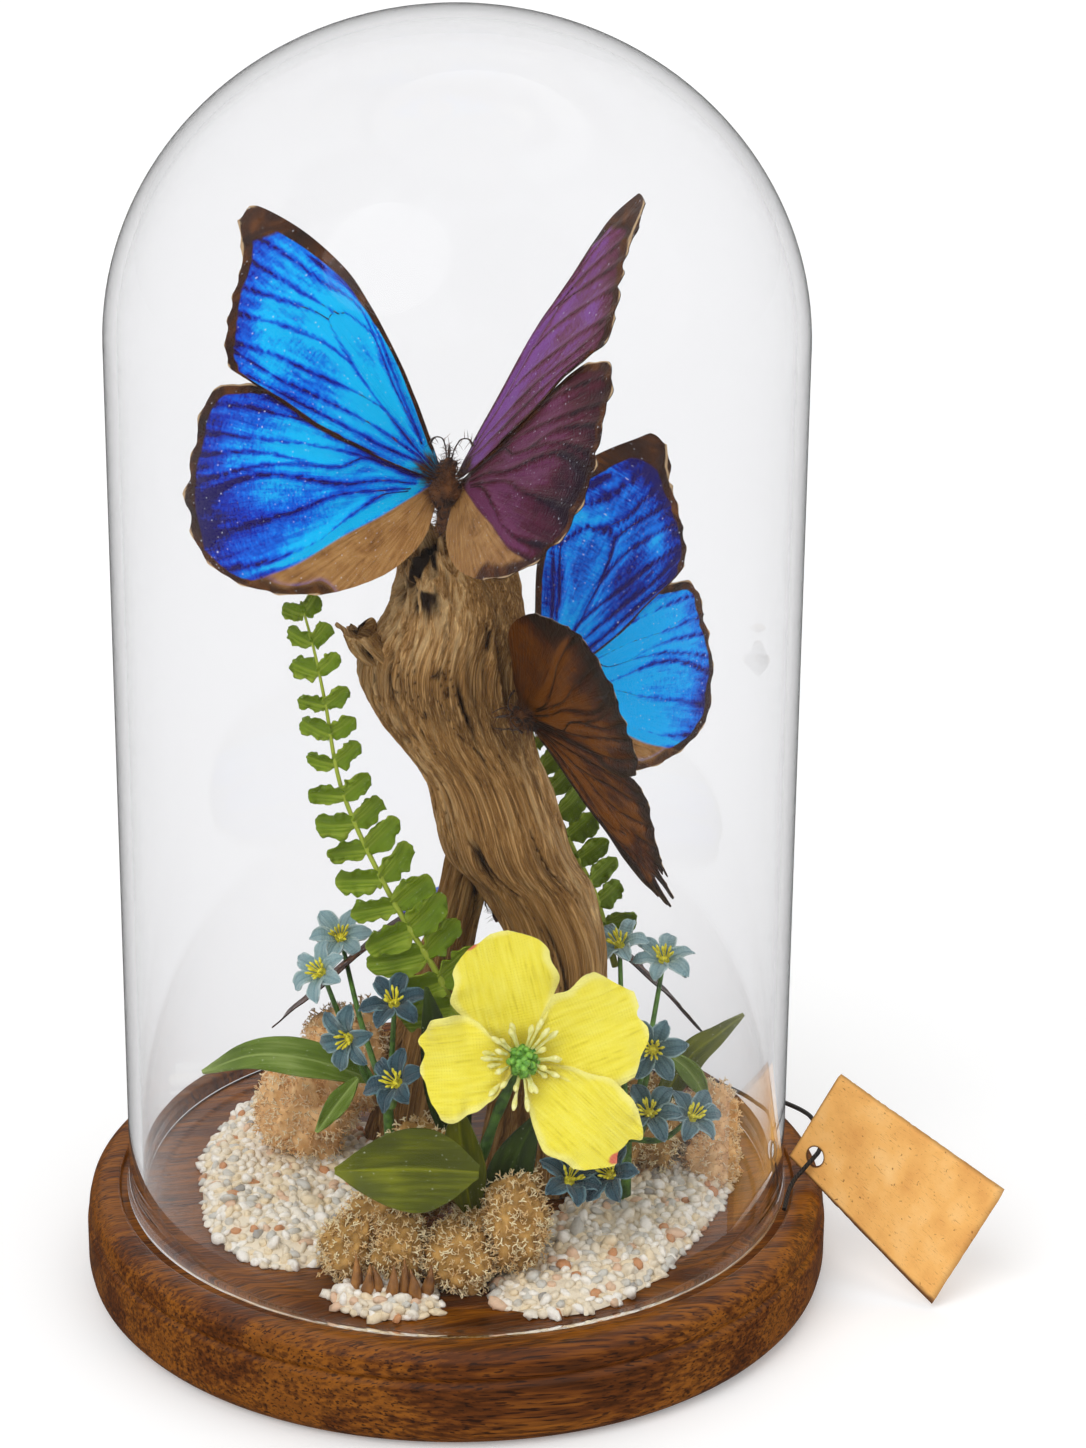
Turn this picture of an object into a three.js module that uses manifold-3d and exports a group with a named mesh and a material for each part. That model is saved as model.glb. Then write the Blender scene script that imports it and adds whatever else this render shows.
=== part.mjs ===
// A glass bell dome on a turned wooden base, with three mounted blue butterflies on driftwood among
// silk flowers, dried moss and gravel. Millimetres, +Z up, origin at the centre of the base's underside.
import * as THREE from "three";
import { mergeVertices } from "three/addons/utils/BufferGeometryUtils.js";
import Module from "manifold-3d";

const wasm = await Module();
wasm.setup();

// ---------- driving dimensions ----------
const GAP = 0.3; // clear space kept between touching pieces
const CLEARANCE = 0.48; // how far a corner moves out, so that the faces beside it move out by the gap

const BASE_RADIUS = 79.2;
const BASE_HEIGHT = 21.4;
const FLOOR_HEIGHT = 19; // the recessed floor inside the dome
const GROOVE_FLOOR = 19.6;
const GROOVE_OUTER_RADIUS = 72.2;
const GROOVE_INNER_RADIUS = 64.5;

const DOME_RADIUS = 70;
const DOME_WALL = 2.8;
const DOME_TOP = 271.4;
const DOME_CAP_HEIGHT = 65.4;
const DOME_FOOT = GROOVE_FLOOR + GAP;
const FOOT_BULGE = 0.6; // the fire-polished foot stands proud of the wall

const WING_THICKNESS = 0.6;
const LEAF_THICKNESS = 0.8;
const PETAL_THICKNESS = 0.8;
const TAG_THICKNESS = 0.8;
const TAG_HOLE_RADIUS = 2;
const CORD_RADIUS = 0.5;

// Directions used to turn flat pieces towards the front of the object, which is seen from slightly above.
const FACE_TILT = THREE.MathUtils.degToRad(21);
const RIGHT = new THREE.Vector3(1, 0, 0);
const FACE_UP = new THREE.Vector3(0, Math.sin(FACE_TILT), Math.cos(FACE_TILT));
const FACE_OUT = new THREE.Vector3(0, -Math.cos(FACE_TILT), Math.sin(FACE_TILT));

// ---------- finishes ----------
const finish = (color, roughness, extra = {}) =>
  new THREE.MeshStandardMaterial({ color, roughness, metalness: 0, ...extra });

const FINISHES = {
  walnut: finish(0x6b3f1d, 0.45),
  glass: finish(0xf2f6f7, 0.03, { transparent: true, opacity: 0.25 }),
  driftwood: finish(0xa67c52, 0.85),
  body: finish(0x5a3a1e, 0.9),
  blueWing: finish(0x1b6fe0, 0.35),
  purpleWing: finish(0x5a2a55, 0.45),
  brownWing: finish(0x4a2810, 0.4),
  fern: finish(0x5a8a2c, 0.6),
  leaf: finish(0x3f6420, 0.5),
  yellow: finish(0xf0e23c, 0.7),
  pistil: finish(0x3f8a1e, 0.6),
  blueSilk: finish(0x4d7186, 0.8),
  stem: finish(0x4a7a2a, 0.7),
  moss: finish(0xc9a878, 0.95),
  gravel: finish(0xe2ded2, 0.7),
  kraft: finish(0xc99a5b, 0.85),
  cord: finish(0x1c1a18, 0.7),
};

// ---------- small helpers ----------
const vec = (x, y, z) => new THREE.Vector3(x, y, z);
const curveOf = (points) => new THREE.CatmullRomCurve3(points.map((p) => vec(...p)));

// The value at t, from 0 to 1, of a list read as evenly spaced stops.
function along(list, t) {
  const position = t * (list.length - 1);
  const stop = Math.min(Math.floor(position), list.length - 2);
  return THREE.MathUtils.lerp(list[stop], list[stop + 1], position - stop);
}

// Only positions, with the vertices that share a place joined.
function joined(geometry) {
  geometry.deleteAttribute("normal");
  geometry.deleteAttribute("uv");
  return mergeVertices(geometry, 1e-4);
}

function solidOf(geometry) {
  return new wasm.Manifold(
    new wasm.Mesh({
      numProp: 3,
      vertProperties: new Float32Array(geometry.attributes.position.array),
      triVerts: new Uint32Array(geometry.index.array),
    }),
  );
}

function geometryOf(solid) {
  const mesh = solid.getMesh();
  return joined(
    new THREE.BufferGeometry()
      .setAttribute("position", new THREE.BufferAttribute(mesh.vertProperties, 3))
      .setIndex(new THREE.BufferAttribute(mesh.triVerts, 1)),
  );
}

// The same shape with every vertex moved outwards, so that a neighbour cut by it keeps clear of it.
function grown(geometry, distance) {
  const copy = geometry.clone();
  copy.computeVertexNormals();
  const position = copy.attributes.position;
  const normal = copy.attributes.normal;
  for (let i = 0; i < position.count; i++) {
    position.setXYZ(
      i,
      position.getX(i) + normal.getX(i) * distance,
      position.getY(i) + normal.getY(i) * distance,
      position.getZ(i) + normal.getZ(i) * distance,
    );
  }
  copy.deleteAttribute("normal");
  return copy;
}

// Moves each vertex of a geometry to the point that a function gives for it.
function reshaped(geometry, pointFor) {
  const merged = joined(geometry);
  const position = merged.attributes.position;
  for (let i = 0; i < position.count; i++) {
    const p = pointFor(position.getX(i), position.getY(i), position.getZ(i));
    position.setXYZ(i, p.x, p.y, p.z);
  }
  return merged;
}

// ---------- shapes ----------
// A body turned about +Z from a profile of [radius, height] points that starts and ends on the axis.
function turned(profile, segments) {
  const outline = profile.map(([radius, height]) => new THREE.Vector2(radius, height));
  return joined(new THREE.LatheGeometry(outline, segments).rotateX(Math.PI / 2));
}

// A limb with level oval sections: each section is [x, y, z, half width in X, half width in Y].
function limb(sections, sides) {
  const steps = sections.length - 1;
  const column = (key) => sections.map((section) => section[key]);
  const [xs, ys, zs, widths, depths] = [0, 1, 2, 3, 4].map(column);
  return reshaped(new THREE.CylinderGeometry(1, 1, 1, sides, steps), (x, y, z) => {
    const t = y + 0.5;
    return vec(
      along(xs, t) + x * along(widths, t),
      along(ys, t) - z * along(depths, t),
      along(zs, t),
    );
  });
}

// A round-sectioned body along a straight axis, with its radii given at even steps.
function spindle(head, tail, radii, sides) {
  const axis = vec(...tail).sub(vec(...head));
  const turn = new THREE.Quaternion().setFromUnitVectors(vec(0, 1, 0), axis.clone().normalize());
  const start = vec(...head);
  return reshaped(new THREE.CylinderGeometry(1, 1, 1, sides, radii.length - 1), (x, y, z) => {
    const t = y + 0.5;
    const radius = along(radii, t);
    return vec(x * radius, t * axis.length(), z * radius).applyQuaternion(turn).add(start);
  });
}

// A flat blade such as a leaf or a petal: it follows a path, and its widths are given at even steps.
function blade(path, widths, thickness, facing, steps = 8) {
  const curve = curveOf(path);
  return reshaped(new THREE.BoxGeometry(1, 1, 1, 1, steps, 1), (x, y, z) => {
    const t = y + 0.5;
    const tangent = curve.getTangentAt(t);
    const side = tangent.clone().cross(facing).normalize();
    const out = side.clone().cross(tangent);
    return curve
      .getPointAt(t)
      .addScaledVector(side, x * along(widths, t))
      .addScaledVector(out, z * thickness);
  });
}

function tube(path, radius, sides, steps) {
  const section = new THREE.Shape();
  for (let i = 0; i < sides; i++) {
    const angle = (2 * Math.PI * i) / sides;
    const corner = [radius * Math.cos(angle), radius * Math.sin(angle)];
    if (i === 0) section.moveTo(...corner);
    else section.lineTo(...corner);
  }
  section.closePath();
  return joined(
    new THREE.ExtrudeGeometry(section, {
      steps,
      curveSegments: 1,
      bevelEnabled: false,
      extrudePath: curveOf(path),
    }),
  );
}

// Several overlapping shapes joined in one.
function union(geometries) {
  return geometryOf(geometries.map(solidOf).reduce((all, next) => all.add(next)));
}

// ---------- the list of pieces ----------
const dome = new THREE.Group();
const placed = [];

const boxOf = (geometry) => new THREE.Box3().setFromBufferAttribute(geometry.attributes.position);

// Adds one named piece as it is.
function place(name, shape, material) {
  const clearance = grown(shape, CLEARANCE);
  placed.push({ box: boxOf(clearance), solid: solidOf(clearance) });
  const mesh = new THREE.Mesh(shape, material);
  mesh.name = name;
  dome.add(mesh);
}

// Adds one named piece after cutting away, with a gap, what it shares with the pieces already there.
function fit(name, geometry, material) {
  const box = boxOf(geometry);
  const near = placed.filter((other) => other.box.intersectsBox(box));
  const cut = near.reduce((body, other) => body.subtract(other.solid), solidOf(geometry));
  const bodies = cut.decompose().sort((a, b) => b.volume() - a.volume());
  place(name, near.length ? geometryOf(bodies[0]) : geometry, material);
}

// ---------- base and glass ----------
function baseGeometry() {
  return turned(
    [
      [0, 0],
      [74.6, 0],
      [77, 0.9],
      [78.6, 2.8],
      [BASE_RADIUS, 5.4],
      [BASE_RADIUS, 14],
      [77.9, 15.2],
      [78.9, 16.4],
      [78.2, 19.4],
      [76.4, 21],
      [74.6, BASE_HEIGHT],
      [GROOVE_OUTER_RADIUS, BASE_HEIGHT],
      [GROOVE_OUTER_RADIUS, GROOVE_FLOOR],
      [GROOVE_INNER_RADIUS, GROOVE_FLOOR],
      [GROOVE_INNER_RADIUS - 0.8, FLOOR_HEIGHT],
      [0, FLOOR_HEIGHT],
    ],
    40,
  );
}

function domeGeometry() {
  const capStart = DOME_TOP - DOME_CAP_HEIGHT;
  const arcSteps = 5;
  const arc = (radius, height) =>
    Array.from({ length: arcSteps + 1 }, (_, i) => {
      const angle = (Math.PI / 2) * (i / arcSteps);
      return [radius * Math.cos(angle), capStart + height * Math.sin(angle)];
    });
  const outer = arc(DOME_RADIUS, DOME_CAP_HEIGHT);
  const inner = arc(DOME_RADIUS - DOME_WALL, DOME_CAP_HEIGHT - DOME_WALL).reverse();
  outer[arcSteps][0] = 0;
  inner[0][0] = 0;
  const foot = [
    [DOME_RADIUS - DOME_WALL - FOOT_BULGE, DOME_FOOT + 1],
    [DOME_RADIUS - DOME_WALL + 0.4, DOME_FOOT],
    [DOME_RADIUS - 0.4, DOME_FOOT],
    [DOME_RADIUS + FOOT_BULGE, DOME_FOOT + 1],
    [DOME_RADIUS + FOOT_BULGE, DOME_FOOT + 2.2],
    [DOME_RADIUS, DOME_FOOT + 4],
  ];
  const wall = [DOME_RADIUS - DOME_WALL, DOME_FOOT + 4];
  return turned([...inner, wall, ...foot, ...outer], 32);
}

// ---------- driftwood ----------
const TRUNK = [
  [20, 4, FLOOR_HEIGHT + 0.5, 15, 12],
  [21, 3, 40, 13, 11],
  [21.3, 1, 60, 11, 10],
  [20.5, 1, 76, 10.5, 10],
  [15.8, 1, 88, 11.8, 10],
  [10.4, 0, 97, 13.2, 11],
  [5.6, 0, 113, 12.2, 10.5],
  [-0.6, 0, 126, 15, 12],
  [-3, 0, 138, 16.6, 13],
  [-0.6, 0, 150, 13.8, 12],
  [-1.2, 0, 160, 11, 9.5],
  [-3, -1, 168, 6, 5],
];

const REAR_LIMB = [
  [-12, 16, FLOOR_HEIGHT + 0.5, 9, 7],
  [-8, 13, 45, 7, 6.5],
  [-2.5, 10, 70, 5.5, 6],
  [1.5, 7, 88, 5.2, 5.5],
  [5, 4, 104, 4, 4.5],
];

const STUB = [
  [-12, -2, 138, 5, 5],
  [-17, -3, 142, 4.6, 5],
  [-20.5, -4, 147.5, 3, 3.4],
];

// ---------- butterflies ----------
// Wing outlines in their pair's own frame: [s, t], with s from the root to the forewing's tip and t across
// towards the hindwing, both in forewing lengths.
const FOREWING = [
  [0.02, 0.0],
  [0.2, -0.06],
  [0.4, -0.104],
  [0.6, -0.126],
  [0.78, -0.115],
  [0.93, -0.068],
  [1, -0.005],
  [0.985, 0.035],
  [0.9, 0.082],
  [0.83, 0.15],
  [0.77, 0.21],
  [0.7, 0.29],
  [0.615, 0.345],
  [0.3, 0.16],
];

const HINDWING = [
  [0.03, 0.03],
  [0.3, 0.19],
  [0.585, 0.39],
  [0.55, 0.47],
  [0.48, 0.57],
  [0.375, 0.69],
  [0.28, 0.75],
  [0.19, 0.765],
  [0.06, 0.71],
  [-0.06, 0.57],
  [-0.14, 0.4],
  [-0.155, 0.26],
  [-0.11, 0.11],
];

// The outline with its leading edge bent further out, by a share that is largest halfway along the wing.
function bulged(outline, share) {
  return outline.map(([s, t]) => [s, t < 0 ? t * (1 + share * Math.sin(Math.PI * Math.min(s, 1))) : t]);
}

// A thin plate of the outline, with its frame's axes given in the object's own space.
function wing(outline, root, forward, across) {
  const shape = new THREE.Shape(outline.map(([s, t]) => new THREE.Vector2(s, t)));
  const plate = new THREE.ExtrudeGeometry(shape, { depth: WING_THICKNESS, bevelEnabled: false });
  const normal = forward.clone().cross(across).normalize();
  const frame = new THREE.Matrix4()
    .makeBasis(forward, across, normal)
    .setPosition(root.clone().addScaledVector(normal, -WING_THICKNESS / 2));
  return joined(plate.applyMatrix4(frame));
}

const BODY_RADII = [0.6, 1.5, 1.3, 2.3, 2.4, 1.6, 1.7, 1.6, 1.2, 0.5];

const BUTTERFLIES = [
  {
    name: "top_butterfly",
    head: [-1.4, -12.5, 185.5],
    tail: [-3.2, -9, 168.5],
    wings: [
      {
        name: "left",
        root: [-4.6, -10, 182],
        forward: [-36.2, 0.4, 52.8],
        across: [-49.4, -13.1, -33.6],
        finish: "blueWing",
      },
      {
        name: "right",
        root: [1.6, -10, 182],
        forward: [35.5, 1.3, 55.6],
        across: [17.2, -58.4, -12.4],
        bulge: -0.6,
        finish: "purpleWing",
      },
    ],
  },
  {
    name: "side_butterfly",
    head: [11.5, -15, 132.5],
    tail: [19.5, 4, 124.5],
    wings: [
      {
        name: "far",
        root: [16.4, 5.4, 131],
        forward: [25.3, 26.7, 46.6],
        across: [40.6, 24.8, -34],
        bulge: 1.3,
        finish: "blueWing",
      },
      {
        name: "near",
        root: [15.5, -9.5, 128],
        forward: [27.4, -33.6, -25.2],
        across: [6.1, -32, 44],
        finish: "brownWing",
      },
    ],
  },
  {
    name: "rear_butterfly",
    head: [7.5, 15.5, 91],
    tail: [8, 20.5, 71],
    wings: [
      {
        name: "left",
        root: [5, 17.5, 84],
        forward: [-45.6, -3.6, -36.8],
        across: [8, 48, -9],
        finish: "brownWing",
      },
      {
        name: "right",
        root: [10.5, 17.5, 84],
        forward: [43.5, -3.6, -36.8],
        across: [-8, 48, -9],
        finish: "brownWing",
      },
    ],
  },
];

function addButterfly({ name, head, tail, wings }) {
  fit(`${name}_body`, spindle(head, tail, BODY_RADII, 8), FINISHES.body);
  for (const pair of wings) {
    const root = vec(...pair.root);
    const forward = vec(...pair.forward);
    const across = vec(...pair.across);
    const material = FINISHES[pair.finish];
    const forewing = bulged(FOREWING, pair.bulge ?? 0);
    fit(`${name}_${pair.name}_forewing`, wing(forewing, root, forward, across), material);
    fit(`${name}_${pair.name}_hindwing`, wing(HINDWING, root, forward, across), material);
  }
}

// ---------- flowers, leaves and ferns ----------
const YELLOW_CENTRE = [14, -35, 65.3];
const YELLOW_PETAL_WIDTHS = [0.2, 0.6, 0.86, 1, 0.96, 0.72, 0.25];
const YELLOW_PETALS = [
  { name: "top", angle: 104, length: 26.6, width: 22, lift: 0 },
  { name: "right", angle: 22, length: 25.8, width: 22, lift: 1.3 },
  { name: "lower", angle: -43, length: 28.4, width: 19, lift: 2.6 },
  { name: "left", angle: 186, length: 20.8, width: 20, lift: 3.9 },
];
const YELLOW_PETAL_START = 3.9;

// A point in the plane that faces the front, at an angle from the right and a distance from a centre.
function inFace(centre, degrees, distance, lift = 0) {
  const angle = THREE.MathUtils.degToRad(degrees);
  return vec(...centre)
    .addScaledVector(RIGHT, distance * Math.cos(angle))
    .addScaledVector(FACE_UP, distance * Math.sin(angle))
    .addScaledVector(FACE_OUT, lift)
    .toArray();
}

function addYellowFlower() {
  const centreBack = inFace(YELLOW_CENTRE, 0, 0, -0.5);
  const centreFront = inFace(YELLOW_CENTRE, 0, 0, 7);
  fit("yellow_flower_centre", spindle(centreBack, centreFront, [2, 3, 3, 2.4, 1.2], 10), FINISHES.pistil);
  for (const { name, angle, length, width, lift } of YELLOW_PETALS) {
    const path = [YELLOW_PETAL_START, length / 2, length].map((distance) =>
      inFace(YELLOW_CENTRE, angle, distance, lift),
    );
    const widths = YELLOW_PETAL_WIDTHS.map((share) => share * width);
    fit(`yellow_petal_${name}`, blade(path, widths, PETAL_THICKNESS, FACE_OUT), FINISHES.yellow);
  }
  const stem = [inFace(YELLOW_CENTRE, 0, 0, -1), [9, -32.5, 52], [5, -32, 38], [2, -29, 21]];
  fit("yellow_flower_stem", tube(stem, 1.1, 6, 8), FINISHES.stem);
}

const BLUE_RADIUS = 6.4;
const BLUE_PETALS = 5;
const LEFT_BLUE = [
  [-27.6, -14, 74.6],
  [-12.3, -23, 71.9],
  [-21.8, -18, 61.7],
  [-11.4, -31, 57.8],
  [-25.7, 18, 68],
];
const RIGHT_BLUE = [
  [34.5, 9, 70.7],
  [44, 8, 67.9],
  [40.8, -18, 59.6],
  [40.2, -22, 46.9],
  [49.1, -18, 43.9],
  [23.6, -40, 40.5],
  [32, -38, 41],
];

// A flat star with one round-ended arm for each petal.
function blueFlower(centre, turn) {
  const star = new THREE.Shape();
  const corners = BLUE_PETALS * 2;
  for (let i = 0; i < corners; i++) {
    const radius = i % 2 ? BLUE_RADIUS * 0.45 : BLUE_RADIUS;
    const angle = turn + (2 * Math.PI * i) / corners;
    const corner = [radius * Math.cos(angle), radius * Math.sin(angle)];
    if (i === 0) star.moveTo(...corner);
    else star.lineTo(...corner);
  }
  star.closePath();
  const plate = new THREE.ExtrudeGeometry(star, { depth: PETAL_THICKNESS, bevelEnabled: false });
  const frame = new THREE.Matrix4().makeBasis(RIGHT, FACE_UP, FACE_OUT).setPosition(vec(...centre));
  return joined(plate.applyMatrix4(frame));
}

// The branching stem of a spray: a main stem, and a branch from its top to just behind each flower.
function sprayStem(foot, fork, flowers) {
  const branches = flowers.map((flower) => {
    const end = vec(...flower).addScaledVector(FACE_OUT, -1.2);
    const middle = vec(...fork).lerp(end, 0.55).add(vec(0, 0, -3));
    return tube([fork, middle.toArray(), end.toArray()], 0.7, 4, 2);
  });
  return union([tube([foot, fork], 1.1, 5, 1), ...branches]);
}

function addBlueFlowers() {
  LEFT_BLUE.forEach((centre, i) =>
    fit(`blue_flower_left_${i + 1}`, blueFlower(centre, i), FINISHES.blueSilk),
  );
  RIGHT_BLUE.forEach((centre, i) =>
    fit(`blue_flower_right_${i + 1}`, blueFlower(centre, i), FINISHES.blueSilk),
  );
  fit("blue_spray_stem_left", sprayStem([-13, -17, 20], [-14, -17, 46], LEFT_BLUE), FINISHES.stem);
  fit("blue_spray_stem_right", sprayStem([36, -12, 20], [36, -12, 36], RIGHT_BLUE), FINISHES.stem);
}

const LEAF_WIDTHS = [0.15, 0.7, 1, 0.9, 0.55, 0.06];
const LEAVES = [
  {
    name: "leaf_front_broad",
    path: [[5.4, -45, 45], [-8, -49, 47.5], [-23.2, -48, 46.5]],
    width: 17,
    facing: FACE_OUT,
  },
  {
    name: "leaf_left_long",
    path: [[-17, -12, 49], [-30.1, -12, 53.6], [-42, -12, 54.6], [-53, -12, 50.5]],
    width: 8,
    facing: vec(0, -0.8, 0.6),
  },
  {
    name: "leaf_left_small",
    path: [[-20, -21, 54], [-24, -22.5, 49], [-28.4, -24, 42.8]],
    width: 4.5,
    facing: FACE_OUT,
  },
  {
    name: "leaf_inner_left",
    path: [[2, -26, 36], [-2.9, -27, 62.3], [-5.5, -28, 78]],
    width: 9,
    facing: FACE_OUT,
  },
  {
    name: "leaf_inner_front",
    path: [[4, -37, 30], [2, -38, 44], [1, -40, 58]],
    width: 9,
    facing: FACE_OUT,
  },
  {
    name: "leaf_inner_right",
    path: [[8, -36, 28], [12, -37, 42], [17, -38.5, 55]],
    width: 9,
    facing: FACE_OUT,
  },
  {
    name: "leaf_right_long",
    path: [[42, 3, 34], [50, 8, 45], [56, 9, 50], [62, 10, 54.5]],
    width: 6.5,
    facing: FACE_OUT,
  },
  {
    name: "leaf_right_low",
    path: [[45, 2, 49], [50, 3, 44], [54.2, 4, 36.4]],
    width: 4.5,
    facing: FACE_OUT,
  },
];

function addLeaves() {
  for (const { name, path, width, facing } of LEAVES) {
    const widths = LEAF_WIDTHS.map((share) => Math.max(share * width, 0.8));
    fit(name, blade(path, widths, LEAF_THICKNESS, facing), FINISHES.leaf);
  }
}

// Each frond is one blade as wide as its leaflets reach.
const FRONT_FERN = {
  path: [
    [4, -15, 56],
    [-3, -15, 73.5],
    [-13.4, -15, 92.7],
    [-22.8, -14, 114.6],
    [-26.3, -13, 134],
    [-28.5, -12, 145],
    [-31, -11.5, 155],
  ],
  widths: [14, 24, 20, 17, 13, 11, 9],
};
const REAR_FERN = {
  path: [
    [34, 22, 60],
    [29.6, 24, 75.4],
    [24.7, 25, 86],
    [18.5, 25, 101],
    [14.5, 25, 117],
  ],
  widths: [11, 15, 16, 15, 8],
};
const BACK = vec(0, -1, 0);

// ---------- moss and gravel ----------
// Each clump is a list of lobes: [x, y, z, half width in X, in Y, in Z].
const MOSS = {
  moss_front: [
    [-17, -40, 27, 10.5, 11, 9],
    [-5, -42, 28, 9, 10, 9],
    [6, -43, 26, 10, 9.5, 8],
    [14.5, -36, 31, 8.5, 10, 11.5],
  ],
  moss_middle_left: [[-6.5, -27, 36, 10, 8, 12]],
  moss_back_left: [
    [-33, 10, 32, 12, 13, 14],
    [-24, 13, 42, 11, 10, 14],
  ],
  moss_right: [[40, 8, 29, 12, 12, 13]],
  moss_far_right: [
    [55, 6, 22, 7, 12, 8],
    [55, 14, 27, 7, 8, 10],
  ],
};

function mossClump(lobes) {
  const lobeGeometry = ([x, y, z, rx, ry, rz]) =>
    joined(new THREE.SphereGeometry(1, 8, 6).rotateX(Math.PI / 2).scale(rx, ry, rz).translate(x, y, z));
  return union(lobes.map(lobeGeometry));
}

// The beds' outlines on the floor, [x, y].
const GRAVEL = {
  gravel_left: [
    [-56, 10], [-53, -14], [-48, -28], [-39, -38], [-29, -38],
    [-16, -24], [-12, 10], [-26, 30], [-40, 42], [-50, 32],
  ],
  gravel_front: [[-25, -50], [-22, -56], [-13, -60], [-5, -59], [-2, -52], [-10, -46], [-19, -45]],
  gravel_right: [
    [8, -54], [21, -58], [37, -49], [49, -27], [60, 2],
    [61, 14], [54, 27], [36, 26], [22, -14], [10, -36],
  ],
};
const GRAVEL_BEVEL = 2;
const GRAVEL_DEPTH = 0.6;

function gravelBed(outline) {
  const shape = new THREE.Shape(outline.map(([x, y]) => new THREE.Vector2(x, y)));
  return joined(
    new THREE.ExtrudeGeometry(shape, {
      depth: GRAVEL_DEPTH,
      bevelSize: GRAVEL_BEVEL,
      bevelThickness: GRAVEL_BEVEL,
      bevelOffset: -GRAVEL_BEVEL,
      bevelSegments: 1,
    }).translate(0, 0, FLOOR_HEIGHT + GRAVEL_BEVEL + GAP),
  );
}

// ---------- tag and cord ----------
// Corners in order round the card: by the hole, above it, far above, far below (the one on the table).
const TAG_CORNERS = [
  [71, -2.2, 26.3],
  [81.3, -4.2, 47.4],
  [116.4, -15, 25.5],
  [101.4, -20.5, 0.9],
];
const TAG_HOLE = [0.2, 0.115]; // the hole's place, as shares of the card's height and length

// A point of the card: up from the lower edge and along from the hole's end, as shares.
function onTag(up, out) {
  const [low, high, farHigh, farLow] = TAG_CORNERS.map((corner) => vec(...corner));
  return low.lerp(farLow, out).lerp(high.lerp(farHigh, out), up);
}

function tagNormal() {
  const upward = onTag(1, 0.5).sub(onTag(0, 0.5));
  const outward = onTag(0.5, 1).sub(onTag(0.5, 0));
  return outward.cross(upward).normalize();
}

function tagGeometry() {
  const normal = tagNormal();
  const card = reshaped(new THREE.BoxGeometry(1, 1, 1, 4, 2, 1), (x, y, z) =>
    onTag(y + 0.5, x + 0.5).addScaledVector(normal, z * TAG_THICKNESS),
  );
  const centre = onTag(...TAG_HOLE);
  const punch = spindle(
    centre.clone().addScaledVector(normal, -3).toArray(),
    centre.clone().addScaledVector(normal, 3).toArray(),
    [TAG_HOLE_RADIUS, TAG_HOLE_RADIUS],
    14,
  );
  return geometryOf(solidOf(card).subtract(solidOf(punch)));
}

// The loop of cord: out of the groove in front, over the card's lower edge, through the hole, and behind the
// card back to the groove.
const CORD_ROUTE = [
  [69.6, -15.6, 20.8],
  [70.2, -12.8, 21.7],
  [71, -10.2, 22.9],
  [72.2, -8.2, 24.2],
  [73.6, -7.2, 25.4],
  [75.2, -6.3, 27],
  [76.5, -4.7, 27.7],
  [77.5, -2.6, 27.9],
  [78.2, 1, 27.9],
  [78.2, 6, 27.6],
  [77.8, 12, 26.8],
  [77, 17.8, 25.8],
  [75.9, 22.5, 24.6],
  [74.3, 27, 23.4],
  [72, 31.2, 22.5],
  [69, 35, 22.3],
  [65.5, 38.2, 22.4],
  [61.8, 40.8, 22.5],
  [58.6, 42.8, 22.2],
  [55.2, 44.9, 21.5],
  [52.3, 48.4, 20.8],
];

// ---------- assembly ----------
place("base", baseGeometry(), FINISHES.walnut);
place("glass_dome", domeGeometry(), FINISHES.glass);
fit("driftwood_trunk", limb(TRUNK, 14), FINISHES.driftwood);
fit("driftwood_rear_limb", limb(REAR_LIMB, 10), FINISHES.driftwood);
fit("driftwood_stub", limb(STUB, 8), FINISHES.driftwood);
BUTTERFLIES.forEach(addButterfly);
addYellowFlower();
addBlueFlowers();
addLeaves();
fit("front_fern", blade(FRONT_FERN.path, FRONT_FERN.widths, LEAF_THICKNESS, BACK, 14), FINISHES.fern);
fit("rear_fern", blade(REAR_FERN.path, REAR_FERN.widths, LEAF_THICKNESS, BACK, 10), FINISHES.fern);
for (const [name, lobes] of Object.entries(MOSS)) {
  fit(name, mossClump(lobes), FINISHES.moss);
}
for (const [name, outline] of Object.entries(GRAVEL)) {
  fit(name, gravelBed(outline), FINISHES.gravel);
}
place("tag", tagGeometry(), FINISHES.kraft);
place("tag_cord", tube(CORD_ROUTE, CORD_RADIUS, 8, 32), FINISHES.cord);

export default dome;
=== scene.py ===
"""Three mounted butterflies on driftwood under a glass bell dome, with silk flowers, moss, gravel and a tag.

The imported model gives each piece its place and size. Every piece here is a finer mesh that stands for one
of its nodes. Lengths are millimetres unless a name says metres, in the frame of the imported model: +Z up,
the display's front towards -Y, origin at the centre of the base's underside.
"""

import logging
import math
from dataclasses import dataclass
from enum import Enum
from typing import Any, Iterable, Sequence

import bpy
import numpy as np
from bpy.types import Material, Node, NodeSocket, NodeTree, Object
from mathutils import Matrix, Vector


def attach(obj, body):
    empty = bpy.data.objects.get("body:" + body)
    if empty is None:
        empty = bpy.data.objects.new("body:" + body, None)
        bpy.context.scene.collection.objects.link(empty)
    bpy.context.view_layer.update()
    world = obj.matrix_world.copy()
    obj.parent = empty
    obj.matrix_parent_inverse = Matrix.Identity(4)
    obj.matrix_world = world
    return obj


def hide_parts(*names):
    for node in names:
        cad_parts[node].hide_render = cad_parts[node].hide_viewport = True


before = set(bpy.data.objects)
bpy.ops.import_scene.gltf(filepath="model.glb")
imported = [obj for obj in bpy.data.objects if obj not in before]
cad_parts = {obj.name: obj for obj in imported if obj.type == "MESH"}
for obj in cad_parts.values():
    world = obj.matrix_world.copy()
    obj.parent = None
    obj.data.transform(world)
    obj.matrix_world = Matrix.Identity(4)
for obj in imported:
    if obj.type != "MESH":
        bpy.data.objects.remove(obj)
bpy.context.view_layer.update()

LOG = logging.getLogger("glass_dome_display")
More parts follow.
